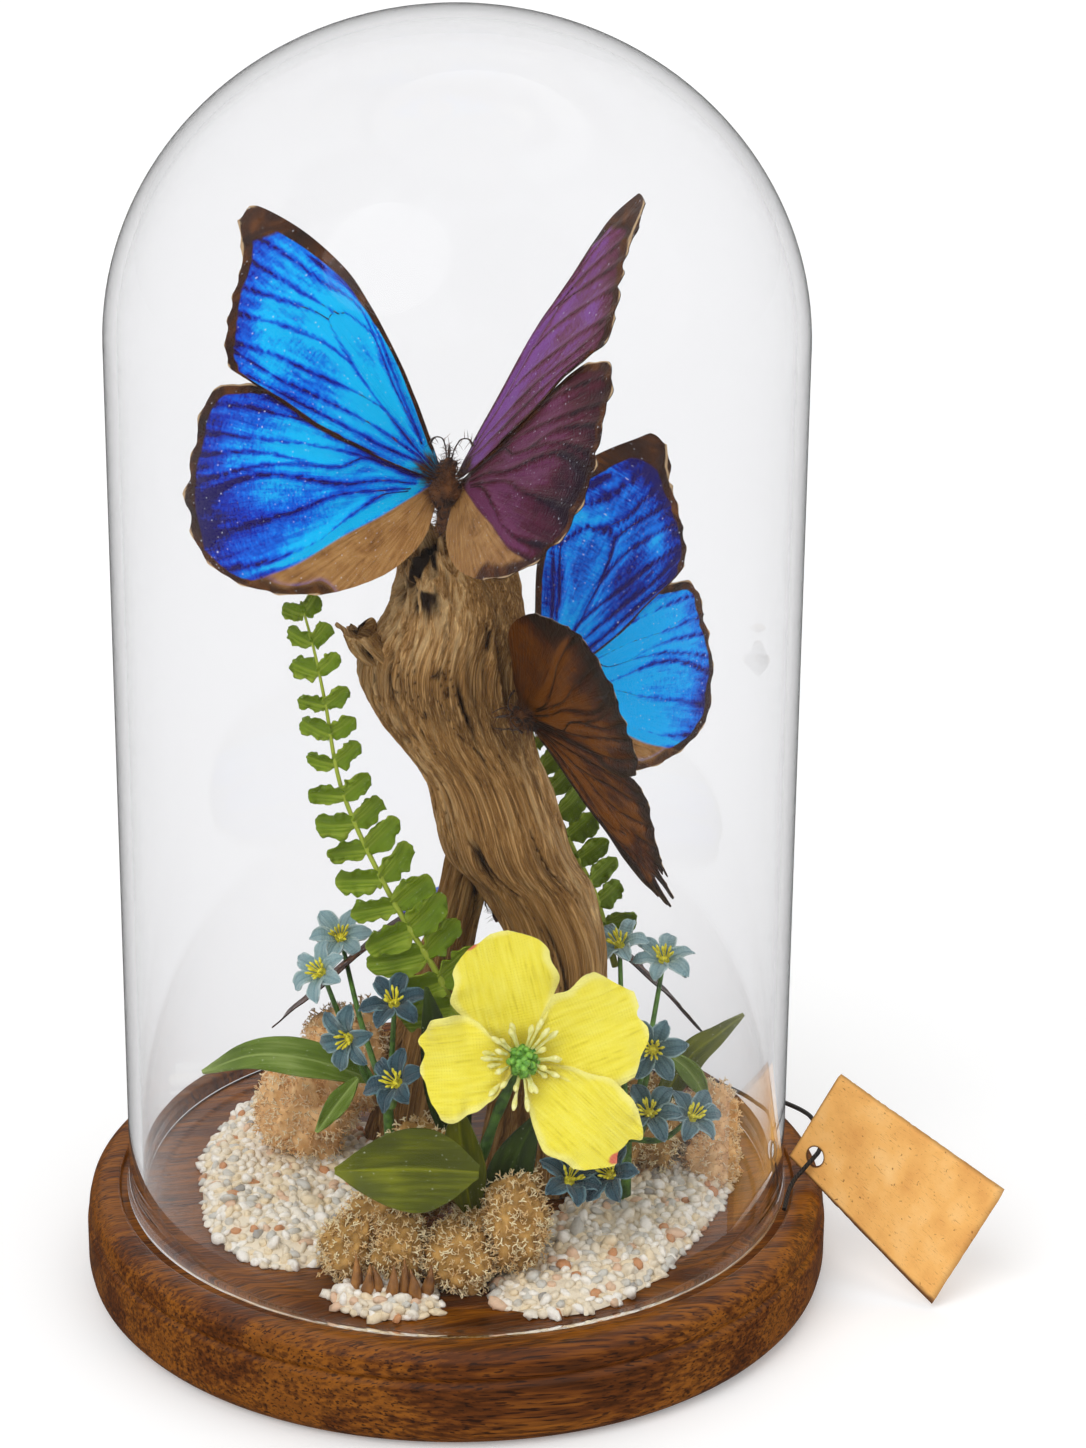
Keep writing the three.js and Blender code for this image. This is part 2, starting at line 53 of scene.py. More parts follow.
METRES = 0.001  # one millimetre in metres
FLOOR = 19.1  # just above the base's inner floor, in millimetres
HASH_AXES = np.array([374761393, 668265263, 2147483647])  # large odd numbers that scramble a cell's place
HASH_SEED = 974634777
HASH_MIX = 1274126177
WAVE_LENGTH = math.pi / 10  # of the wave texture at scale 1
CLOSEST = 4e6  # how many places to a square metre a scatter may try
STIR_SCALE = 900.0  # of the noise that moves the copies' corners, per metre
CAMERA_SIGHT = 50.0  # how far the camera sees, in metres

Point = Sequence[float]
Colour = tuple[float, float, float, float]


# ---------- numbers and curves ----------
def linear(code: str) -> Colour:
    """Turns an sRGB hex colour into a linear one.

    Args:
        code: six hex digits after a "#".

    Returns:
        Linear red, green, blue and an alpha of 1.
    """
    parts = [int(code[i : i + 2], 16) / 255 for i in (1, 3, 5)]
    red, green, blue = (p / 12.92 if p <= 0.04045 else ((p + 0.055) / 1.055) ** 2.4 for p in parts)
    return red, green, blue, 1.0


def step(low: float, high: float, x: np.ndarray) -> np.ndarray:
    """Returns a smooth rise from 0 at low to 1 at high; low may be the larger one."""
    t = np.clip((x - low) / (high - low), 0, 1)
    return t * t * (3 - 2 * t)


def bell(x: np.ndarray, centre: float, width: float) -> np.ndarray:
    """Returns a bump of height 1 at a centre, which falls to a third at one width from it."""
    return np.exp(-(((x - centre) / width) ** 2))


def unit(v: np.ndarray) -> np.ndarray:
    """Returns vectors scaled to length 1 along the last axis."""
    return v / np.maximum(np.linalg.norm(v, axis=-1, keepdims=True), 1e-9)


def noise(points: np.ndarray, seed: int = 0, octaves: int = 1) -> np.ndarray:
    """Smooth random values, from about -1 to 1, with a grain of one unit.

    Args:
        points: places, with x, y and z on the last axis.
        seed: picks another pattern.
        octaves: how many finer layers are added, each half as strong.

    Returns:
        One value for each place.
    """
    total = np.zeros(points.shape[:-1])
    for layer in range(octaves):
        p = points * 2**layer + 17.3 * layer
        cell = np.floor(p).astype(np.int64)
        f = p - cell
        f = f * f * (3 - 2 * f)
        layer_value = 0.0
        for corner in np.ndindex(2, 2, 2):
            c = cell + np.array(corner)
            h = (c * HASH_AXES).sum(axis=-1) + (seed + layer) * HASH_SEED
            h = (h ^ (h >> 13)) * HASH_MIX
            value = ((h ^ (h >> 16)) & 0xFFFF) / 32767.5 - 1
            share = np.prod(np.where(np.array(corner) == 1, f, 1 - f), axis=-1)
            layer_value = layer_value + value * share
        total += layer_value / 2**layer
    return total


def ripple(x: np.ndarray, y: np.ndarray | float = 0.0, seed: int = 0, octaves: int = 1) -> np.ndarray:
    """Returns the random values of noise() over flat places."""
    return noise(np.stack(np.broadcast_arrays(x, y, 0.0), axis=-1), seed, octaves)


def circle(count: int) -> np.ndarray:
    """Returns evenly spaced angles round a circle."""
    return np.linspace(0, 2 * math.pi, count, endpoint=False)


def curve(points: Iterable[Point], count: int) -> np.ndarray:
    """Samples a smooth curve through points at even lengths.

    Args:
        points: the points that the curve passes.
        count: how many samples to take.

    Returns:
        An array of count rows.
    """
    p = np.array([list(q) for q in points], float)
    ends = np.vstack([2 * p[0] - p[1], p, 2 * p[-1] - p[-2]])
    t = np.linspace(0, 1, 24, endpoint=False)[:, None]
    spans = []
    for a, b, c, d in zip(ends, ends[1:], ends[2:], ends[3:]):
        spans.append(
            b + 0.5 * t * (c - a + t * (2 * a - 5 * b + 4 * c - d + t * (3 * (b - c) + d - a)))
        )
    fine = np.vstack([*spans, p[-1:]])
    length = np.concatenate([[0], np.cumsum(np.linalg.norm(np.diff(fine, axis=0), axis=1))])
    at = np.linspace(0, length[-1], count)
    return np.stack([np.interp(at, length, fine[:, k]) for k in range(fine.shape[1])], axis=1)


def stops(values: Sequence[float], t: np.ndarray) -> np.ndarray:
    """Returns the smooth in-between values at t, from 0 to 1, of a list of evenly spaced values."""
    fine = curve([(i / (len(values) - 1), v) for i, v in enumerate(values)], 200)
    return np.interp(t, fine[:, 0], fine[:, 1])


def rails(path: np.ndarray, facing: Point) -> tuple[np.ndarray, np.ndarray, np.ndarray]:
    """Gives directions along a path.

    Args:
        path: points of the path.
        facing: the way that a flat piece on the path looks.

    Returns:
        For each point, the way along, the way across and the way out.
    """
    ahead = unit(np.gradient(path, axis=0))
    across = unit(np.cross(ahead, np.asarray(facing, float)))
    return ahead, across, unit(np.cross(across, ahead))


def basis(out: Point, up: Point = (0, 0, 1)) -> np.ndarray:
    """Gives the directions of a piece that looks along a way.

    Args:
        out: the way that it looks.
        up: roughly the way up.

    Returns:
        A matrix whose columns are right, up and out.
    """
    z = unit(np.asarray(out, float))
    x = unit(np.cross(np.asarray(up, float), z))
    return np.stack([x, np.cross(z, x), z], axis=1)


# ---------- meshes ----------
class Solid:
    """A mesh under construction: corners in millimetres, faces, and named values at the corners."""

    def __init__(self) -> None:
        """Starts with nothing."""
        self.points: list[np.ndarray] = []
        self.faces: list[np.ndarray] = []
        self.slots: list[np.ndarray] = []
        self.values: dict[str, list[tuple[int, np.ndarray]]] = {}
        self.count = 0

    def add(self, points: np.ndarray, faces: Iterable[np.ndarray], slot: int = 0, **values: Any) -> None:
        """Adds corners and faces.

        Args:
            points: the corners.
            faces: arrays of faces, each array with one number of sides.
            slot: which of the piece's materials the faces take.
            **values: a number, or one for each corner, under each name.
        """
        points = points.reshape(-1, 3)
        for block in faces:
            self.faces.append(np.asarray(block) + self.count)
            self.slots.append(np.full(len(block), slot))
        for name, value in values.items():
            value = np.asarray(value, float)
            width = 3 if name == "place" else 1
            filled = np.broadcast_to(value.reshape(-1, width), (len(points), width))
            self.values.setdefault(name, []).append((self.count, filled))
        self.points.append(points)
        self.count += len(points)

    def grid(self, points: np.ndarray, ring: bool = False, slot: int = 0,
             poles: np.ndarray | None = None, **values: Any) -> None:
        """Adds a surface from a grid of points.

        Args:
            points: rows and columns of points.
            ring: whether its columns make a ring, whose two ends are closed.
            slot: which of the piece's materials the faces take.
            poles: the two points that close the ends, where they aren't their middles.
            **values: a number, or one for each point of the grid.
        """
        rows, cols = points.shape[:2]
        index = np.arange(rows * cols).reshape(rows, cols)
        after = np.roll(index, -1, axis=1) if ring else index[:, 1:]
        here = index if ring else index[:, :-1]
        faces = [np.stack([here[:-1], after[:-1], after[1:], here[1:]], axis=-1).reshape(-1, 4)]
        if ring:
            ends = np.array([points[0].mean(0), points[-1].mean(0)]) if poles is None else poles
            low, high = rows * cols, rows * cols + 1
            first = [[low, b, a] for a, b in zip(index[0], after[0])]
            last = [[high, a, b] for a, b in zip(index[-1], after[-1])]
            faces.append(np.array(first + last))
            for key, value in values.items():
                if isinstance(value, np.ndarray):
                    flat = value.reshape(rows * cols, -1)
                    values[key] = np.concatenate([flat, flat[:1], flat[-cols:][:1]])
            points = np.concatenate([points.reshape(-1, 3), ends])
        self.add(points, faces, slot, **values)

    def tube(
        self, path: np.ndarray, radii: float | np.ndarray, sides: int = 6, slot: int = 0, **values: Any
    ) -> None:
        """Adds a round tube with closed ends, whose place is (along, around, 0) in millimetres.

        Args:
            path: the points along its middle.
            radii: one radius, or one for each point.
            sides: how many sides it has.
            slot: which of the piece's materials the faces take.
            **values: a number under each name.
        """
        radii = np.broadcast_to(np.asarray(radii, float), len(path))
        steps = np.linalg.norm(np.diff(path, axis=0), axis=1)
        along = np.concatenate([[0], np.cumsum(steps)])
        chord = path[-1] - path[0]
        helper = np.eye(3)[np.argmin(np.abs(chord))]
        _, across, out = rails(path, helper)
        turn = circle(sides)
        ring = across[:, None] * np.cos(turn)[:, None] + out[:, None] * np.sin(turn)[:, None]
        points = path[:, None] + ring * radii[:, None, None]
        around = turn[None] * radii.mean()
        place = np.stack(np.broadcast_arrays(along[:, None], around, 0.0), axis=-1)
        self.grid(points[:, ::-1], ring=True, slot=slot, place=place, **values)

    def shell(self, sheet: np.ndarray, thickness: float | np.ndarray, slot: int = 0, **values: Any) -> None:
        """Adds a closed thin body round a sheet, with the value "under" 1 on its lower side.

        Args:
            sheet: a grid of points in the middle of the body.
            thickness: one thickness, or one for each point.
            slot: which of the piece's materials the faces take.
            **values: a number, or one for each point of the grid.
        """
        rows, cols = sheet.shape[:2]
        out = unit(np.cross(np.gradient(sheet, axis=0), np.gradient(sheet, axis=1)))
        half = np.broadcast_to(np.asarray(thickness, float), (rows, cols))[..., None] / 2
        index = np.arange(rows * cols).reshape(rows, cols)
        quads = np.stack([index[:-1, :-1], index[1:, :-1], index[1:, 1:], index[:-1, 1:]], axis=-1)
        top = quads.reshape(-1, 4)
        rim = np.concatenate([index[0, ::-1], index[1:, 0], index[-1, 1:], index[-2:0:-1, -1]])
        below = rows * cols
        after = np.roll(rim, -1)
        side = np.stack([rim, after, after + below, rim + below], axis=-1)
        doubled = {
            k: np.concatenate([v.reshape(rows * cols, -1)] * 2) if isinstance(v, np.ndarray) else v
            for k, v in values.items()
        }
        points = np.concatenate([(sheet + out * half).reshape(-1, 3), (sheet - out * half).reshape(-1, 3)])
        under = np.repeat([0.0, 1.0], below)
        self.add(points, [top, top[:, ::-1] + below, side[:, ::-1]], slot, under=under, **doubled)

    def make(self, name: str, finishes: Sequence[Material],
             sharp: float = 40.0) -> Object:
        """Makes the object.

        Args:
            name: the object's name.
            finishes: one material for each slot.
            sharp: edges that turn more than this many degrees stay crisp.

        Returns:
            The object, at the origin.
        """
        mesh = bpy.data.meshes.new(name)
        faces = [face for block in self.faces for face in block.tolist()]
        mesh.from_pydata((np.concatenate(self.points) * METRES).tolist(), [], faces)
        for key, blocks in self.values.items():
            width = blocks[0][1].shape[1]
            data = np.zeros((self.count, width))
            for start, block in blocks:
                data[start : start + len(block)] = block
            kind, form = ("FLOAT_VECTOR", "vector") if width == 3 else ("FLOAT", "value")
            mesh.attributes.new(key, kind, "POINT").data.foreach_set(form, data.ravel().astype(np.float32))
        for finish in finishes:
            mesh.materials.append(finish)
        mesh.polygons.foreach_set("material_index", np.concatenate(self.slots).astype(np.int32))
        mesh.shade_smooth()
        mesh.set_sharp_from_angle(angle=math.radians(sharp))
        mesh.update()
        made = bpy.data.objects.new(name, mesh)
        bpy.context.scene.collection.objects.link(made)
        return made


def settle(piece: Object, slot: str, *nodes: str) -> Object:
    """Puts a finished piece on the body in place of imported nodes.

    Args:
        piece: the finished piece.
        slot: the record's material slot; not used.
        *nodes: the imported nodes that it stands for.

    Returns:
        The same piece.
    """
    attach(piece, "root")
    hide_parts(*nodes)
    triangles = sum(len(p.vertices) - 2 for p in piece.data.polygons)
    LOG.info("%s stands for %s: %d triangles", piece.name, ", ".join(nodes), triangles)
    return piece


def dress(solid: Solid, node: str, slot: str, *finishes: str, sharp: float = 40.0) -> Object:
    """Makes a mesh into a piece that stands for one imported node.

    Args:
        solid: the mesh.
        node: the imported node.
        slot: the record's material slot.
        *finishes: the names of the piece's finishes.
        sharp: edges that turn more than this many degrees stay crisp.

    Returns:
        The piece.
    """
    return settle(solid.make(f"fine_{node}", SHOP.take(*finishes), sharp), slot, node)


def add(tree: NodeTree, kind: str, settings: dict[str, Any] | None = None,
        inputs: dict[Any, Any] | None = None) -> Node:
    """Adds a node with its settings and links.

    Args:
        tree: the tree that gets the node.
        kind: the node's type.
        settings: its properties; "stops" is a colour ramp's list of (position, colour).
        inputs: for each input's name or number, a socket to link or a value to set.

    Returns:
        The node.
    """
    node = tree.nodes.new(kind)
    for key, value in (settings or {}).items():
        if key == "stops":
            marks = node.color_ramp.elements
            while len(marks) < len(value):
                marks.new(0.5)
            while len(marks) > len(value):
                marks.remove(marks[-1])
            for mark, (position, colour) in zip(marks, value):
                mark.position = position
                mark.color = linear(colour)
        else:
            setattr(node, key, value)
    for key, value in (inputs or {}).items():
        if isinstance(value, NodeSocket):
            tree.links.new(value, node.inputs[key])
        else:
            node.inputs[key].default_value = value
    return node


# ---------- finishes ----------
@dataclass(frozen=True)
class Grain:
    """A cloudy pattern, 0 to 1, with a size in millimetres along each direction of what it lies on."""

    size: tuple[float, float, float]
    detail: float = 2.0
    stir: float = 0.0
    inside: bool = False  # runs through the piece, instead of along its own surface
    turn: tuple[float, float, float] = (0.0, 0.0, 0.0)

    def value(self, tree: NodeTree) -> NodeSocket:
        """Adds the pattern.

        Args:
            tree: the material's tree.

        Returns:
            Its value.
        """
        if self.inside:
            place = add(tree, "ShaderNodeTexCoord").outputs["Object"]
        else:
            place = add(tree, "ShaderNodeAttribute", {"attribute_name": "place"}).outputs["Vector"]
        size = tuple(s * (METRES if self.inside else 1.0) for s in self.size)
        inputs = {"Vector": place, "Scale": size, "Rotation": self.turn}
        cells = add(tree, "ShaderNodeMapping", {"vector_type": "TEXTURE"}, inputs).outputs[0]
        inputs = {"Vector": cells, "Scale": 1.0, "Detail": self.detail, "Distortion": self.stir}
        return add(tree, "ShaderNodeTexNoise", None, inputs).outputs["Fac"]


@dataclass(frozen=True)
class Threads:
    """Parallel threads along a piece's surface, a pitch in millimetres apart, turned by some radians."""

    pitch: float
    turn: float = 0.0

    def value(self, tree: NodeTree) -> NodeSocket:
        """Adds the threads.

        Args:
            tree: the material's tree.

        Returns:
            Their height, 0 to 1.
        """
        place = add(tree, "ShaderNodeAttribute", {"attribute_name": "place"}).outputs["Vector"]
        inputs = {"Vector": place, "Rotation": (0.0, 0.0, self.turn)}
        turned = add(tree, "ShaderNodeMapping", {"vector_type": "TEXTURE"}, inputs).outputs[0]
        inputs = {"Vector": turned, "Scale": WAVE_LENGTH / self.pitch}
        return add(tree, "ShaderNodeTexWave", None, inputs).outputs["Fac"]


@dataclass(frozen=True)
class Measure:
    """A weighted sum of patterns and of values that the piece stores at its corners."""

    terms: tuple[tuple[Grain | Threads | str, float], ...]
    base: float = 0.0

    def value(self, tree: NodeTree) -> NodeSocket:
        """Adds the sum.

        Args:
            tree: the material's tree.

        Returns:
            Its value.
        """
        total: Any = self.base
        for source, weight in self.terms:
            if isinstance(source, str):
                socket = add(tree, "ShaderNodeAttribute", {"attribute_name": source}).outputs["Fac"]
            else:
                socket = source.value(tree)
            inputs = {0: socket, 1: weight, 2: total}
            total = add(tree, "ShaderNodeMath", {"operation": "MULTIPLY_ADD"}, inputs).outputs[0]
        return total


@dataclass(frozen=True)
class Coat:
    """A coat of dye, stains, dirt, or painted light or shade: its colours along a measure, and where it
    covers what lies below.

    The coat goes from none to its full strength while the measure "over" goes through the range "fade".
    """

    colours: tuple[tuple[float, str], ...]
    along: Measure = Measure(())
    over: Measure = Measure(())
    fade: tuple[float, float] = (0.0, 1.0)
    strength: float = 1.0
    banded: bool = False  # one plain colour up to each position, instead of a gradual change

    def lay(self, tree: NodeTree, below: NodeSocket | None) -> NodeSocket:
        """Lays the coat on what lies below.

        Args:
            tree: the material's tree.
            below: the colour below, or nothing for the first coat.

        Returns:
            The colour with this coat on it.
        """
        settings = {"stops": self.colours}
        ramp = add(tree, "ShaderNodeValToRGB", settings, {"Fac": self.along.value(tree)})
        ramp.color_ramp.interpolation = "CONSTANT" if self.banded else "LINEAR"
        if below is None:
            return ramp.outputs[0]
        inputs = {"Value": self.over.value(tree), "From Min": self.fade[0], "From Max": self.fade[1],
                  "To Max": self.strength}
        where = add(tree, "ShaderNodeMapRange", {"interpolation_type": "SMOOTHSTEP"}, inputs).outputs[0]
        inputs = {0: where, 6: below, 7: ramp.outputs[0]}
        return add(tree, "ShaderNodeMix", {"data_type": "RGBA"}, inputs).outputs[2]


@dataclass(frozen=True)
class Finish:
    """A surface finish: the constants of its shader, its coats from the lowest up, and its relief."""

    name: str
    roughness: float
    coats: tuple[Coat, ...] = ()
    relief: Measure = Measure(())
    depth: float = 0.0  # of the relief, in millimetres
    constants: tuple[tuple[str, Any], ...] = ()

    def build(self) -> Material:
        """Makes the material, with its shader's constants, colour and relief.

        Returns:
            The material.
        """
        material = bpy.data.materials.new(self.name)
        material.use_nodes = True
        tree = material.node_tree
        shader = tree.nodes["Principled BSDF"]
        shader.inputs["Roughness"].default_value = self.roughness
        for key, value in self.constants:
            shader.inputs[key].default_value = value
        colour = None
        for coat in self.coats:
            colour = coat.lay(tree, colour)
        if colour:
            tree.links.new(colour, shader.inputs["Base Color"])
        if self.depth:
            inputs = {"Height": self.relief.value(tree), "Distance": self.depth * METRES}
            bump = add(tree, "ShaderNodeBump", None, inputs)
            tree.links.new(bump.outputs["Normal"], shader.inputs["Normal"])
        return material


def stain(colour: str, over: tuple[tuple[Any, float], ...], fade: tuple[float, float] = (0.0, 1.0),
          strength: float = 1.0, base: float = 0.0) -> Coat:
    """Returns a coat of one colour, laid where a sum of terms and a base goes through the range "fade"."""
    return Coat(((0.0, colour),), over=Measure(over, base), fade=fade, strength=strength)


SPECKS = Grain((0.5, 0.5, 1), 0)  # dust and single loose scales
UNDERSIDE = ("#0e0400", "#220b00", "#3a1500", "#6a3a06")  # of a wing, from its dull places to its brightest


class Tone(Enum):
    """How a wing's upper side shines, from its dull places to its brightest."""

    BLUE = ("#180a58", "#0530b8", "#006ae4", "#06bcf8")
    FAR_BLUE = ("#180a5c", "#0432b0", "#0078ee", "#08b4ff")
    # painted grazing-angle colour: the same blue scales, coloured purple and maroon as they look when lit and
    # seen at a grazing angle
    PAINTED_GRAZING_PURPLE = ("#34141a", "#522330", "#6b3654", "#7c4a8e")
    PAINTED_GRAZING_MAROON = ("#1e080a", "#390f16", "#4f1a28", "#6a3050")
    BROWN = ("#080200", "#1c0900", "#341400", "#643403")


def wing_scales(tone: Tone, roughness: float = 0.42) -> Finish:
    """Butterfly wing: rows of minute scales, blue above and brown below, with a dark rim; the blue scales are
    painted purple where they stand for their look at a grazing angle.

    The scales are drawn as coarse as they need to be to show. Long streaks run from the wing's root, the rim
    is ragged, and the inner fold is tan.

    Args:
        tone: the colours of the upper side.
        roughness: of both sides.

    Returns:
        The finish.
    """
    streaks, scales, mottle = Grain((7, 0.8, 1), 3, 0.5), Grain((0.4, 0.4, 1), 1), Grain((4, 4, 1), 4, 0.8)
    lines, wrinkles = Grain((10, 0.32, 1), 2, 0.2), Grain((0.5, 1.6, 1), 2, 0.4)
    shine = Measure((("bright", 1.0), (streaks, 0.4), (lines, 0.35), (wrinkles, 0.5), (scales, 0.4)), -0.82)
    rim = Coat(((0.3, "#1c0c04"), (0.55, "#3a1d08"), (0.75, "#6a3c12")), Measure(((mottle, 1.0),)),
               Measure((("margin", 1.0), (mottle, 0.5)), -0.25), (0.3, 0.62))
    places = (0.1, 0.34, 0.62, 0.95)
    return Finish(f"wing_{tone.name.lower()}", roughness, (
        Coat(tuple(zip(places, tone.value)), shine),
        rim,
        Coat(((0.25, "#56361a"), (0.45, "#966a3a"), (0.75, "#c0945c")),
             Measure(((streaks, 0.5), (mottle, 0.5))), Measure((("fold", 1.0),))),
        stain("#cdae86", (("hem", 1.0), (mottle, 0.8)), (0.2, 0.9), 0.8, -0.4),
        stain("#dfe6f2", ((SPECKS, 1.0),), (0.77, 0.83), 0.6),
        Coat(tuple(zip(places, UNDERSIDE)), shine, Measure((("under", 1.0),))),
        stain("#1a0a03", (("margin", 1.0), ("under", 1.0), (mottle, 0.5)), (0.3, 0.62), 1.0, -1.25),
    ), Measure(((streaks, 1.0), (lines, 0.6), (wrinkles, 0.6), (scales, 0.3))), 0.26,
        (("Specular IOR Level", 0.12),))


def silk(name: str, rib: str, dye: str, light: str, flush: str, tips: str) -> Finish:
    """Polyester silk, pressed in a hot mould: soft ribs, a deeper dye along them, and a coarse weave.

    The weave is drawn twice as coarse as it is, so that it shows.

    Args:
        name: the material's name.
        rib: the colour between the ribs, and of the painted shade near the petals' foot.
        dye: the main colour.
        light: the colour on the ribs.
        flush: a second dye, brushed on.
        tips: the colour at the edges.

    Returns:
        The finish.
    """
    ribs, soft = Grain((9, 0.85, 1), 3, 0.3), Grain((3.5, 3.5, 1), 3)
    return Finish(name, 0.75, (
        Coat(((0.2, rib), (0.42, dye), (0.75, light)), Measure(((ribs, 0.7), (soft, 0.3)))),
        stain(tips, (("edge", 1.0), (soft, 0.6)), (0.2, 1.0), 0.8, -0.3),
        # painted shade: darker towards the petals' foot, deep in the cup
        stain(rib, (("throat", 1.0),), strength=0.8),
        stain(flush, (("flush", 1.0), (soft, 0.8)), (0.25, 0.6), 0.85, -0.4),
    ), Measure(((ribs, 2.5), (Threads(0.6), 0.4), (Threads(0.6, math.pi / 2), 0.4))), 0.14,
        (("Sheen Weight", 0.25),))


def foliage(name: str, dark: str, green: str, light: str, vein: float = 0.8,
            roughness: float = 0.4) -> Finish:
    """Coated cloth or moulded polythene leaf: veins along it, a paler midrib, a soft shine, specks of dust.

    Args:
        name: the material's name.
        dark: the colour in the shallow valleys.
        green: the main colour.
        light: the colour on the veins and the midrib.
        vein: how far apart the veins are, in millimetres.
        roughness: how dull it is.

    Returns:
        The finish.
    """
    veins, cloud = Grain((14, vein, 1), 2, 0.1), Grain((13, 7, 1), 3)
    return Finish(name, roughness, (
        Coat(((0.3, dark), (0.5, green), (0.7, light)), Measure(((veins, 0.3), (cloud, 0.36)), 0.17)),
        stain(light, (("pale", 1.0),)),
        stain("#c9cdb4", ((SPECKS, 1.0),), (0.76, 0.84), 0.5),
    ), Measure(((veins, 0.6), (cloud, 0.8))), 0.25, (("Specular IOR Level", 0.2),))


def moulded(name: str, dark: str, light: str, grain: float = 2.0, roughness: float = 0.5,
            own_shade: float = 0.0) -> Finish:
    """A small moulded, dipped or dried part in one colour that varies a little, also from copy to copy.

    Args:
        name: the material's name.
        dark: its darkest colour.
        light: its lightest colour.
        grain: the size of its clouds, in millimetres.
        roughness: how dull it is.
        own_shade: how much each copy's own shade counts.

    Returns:
        The finish.
    """
    cloud = Grain((grain, grain, grain), 2, inside=True)
    return Finish(name, roughness, (
        Coat(((0.3, dark), (0.7, light)), Measure(((cloud, 1.0), ("shade", own_shade)), -own_shade / 2)),
    ), Measure(((cloud, 1.0),)), grain * 0.08)


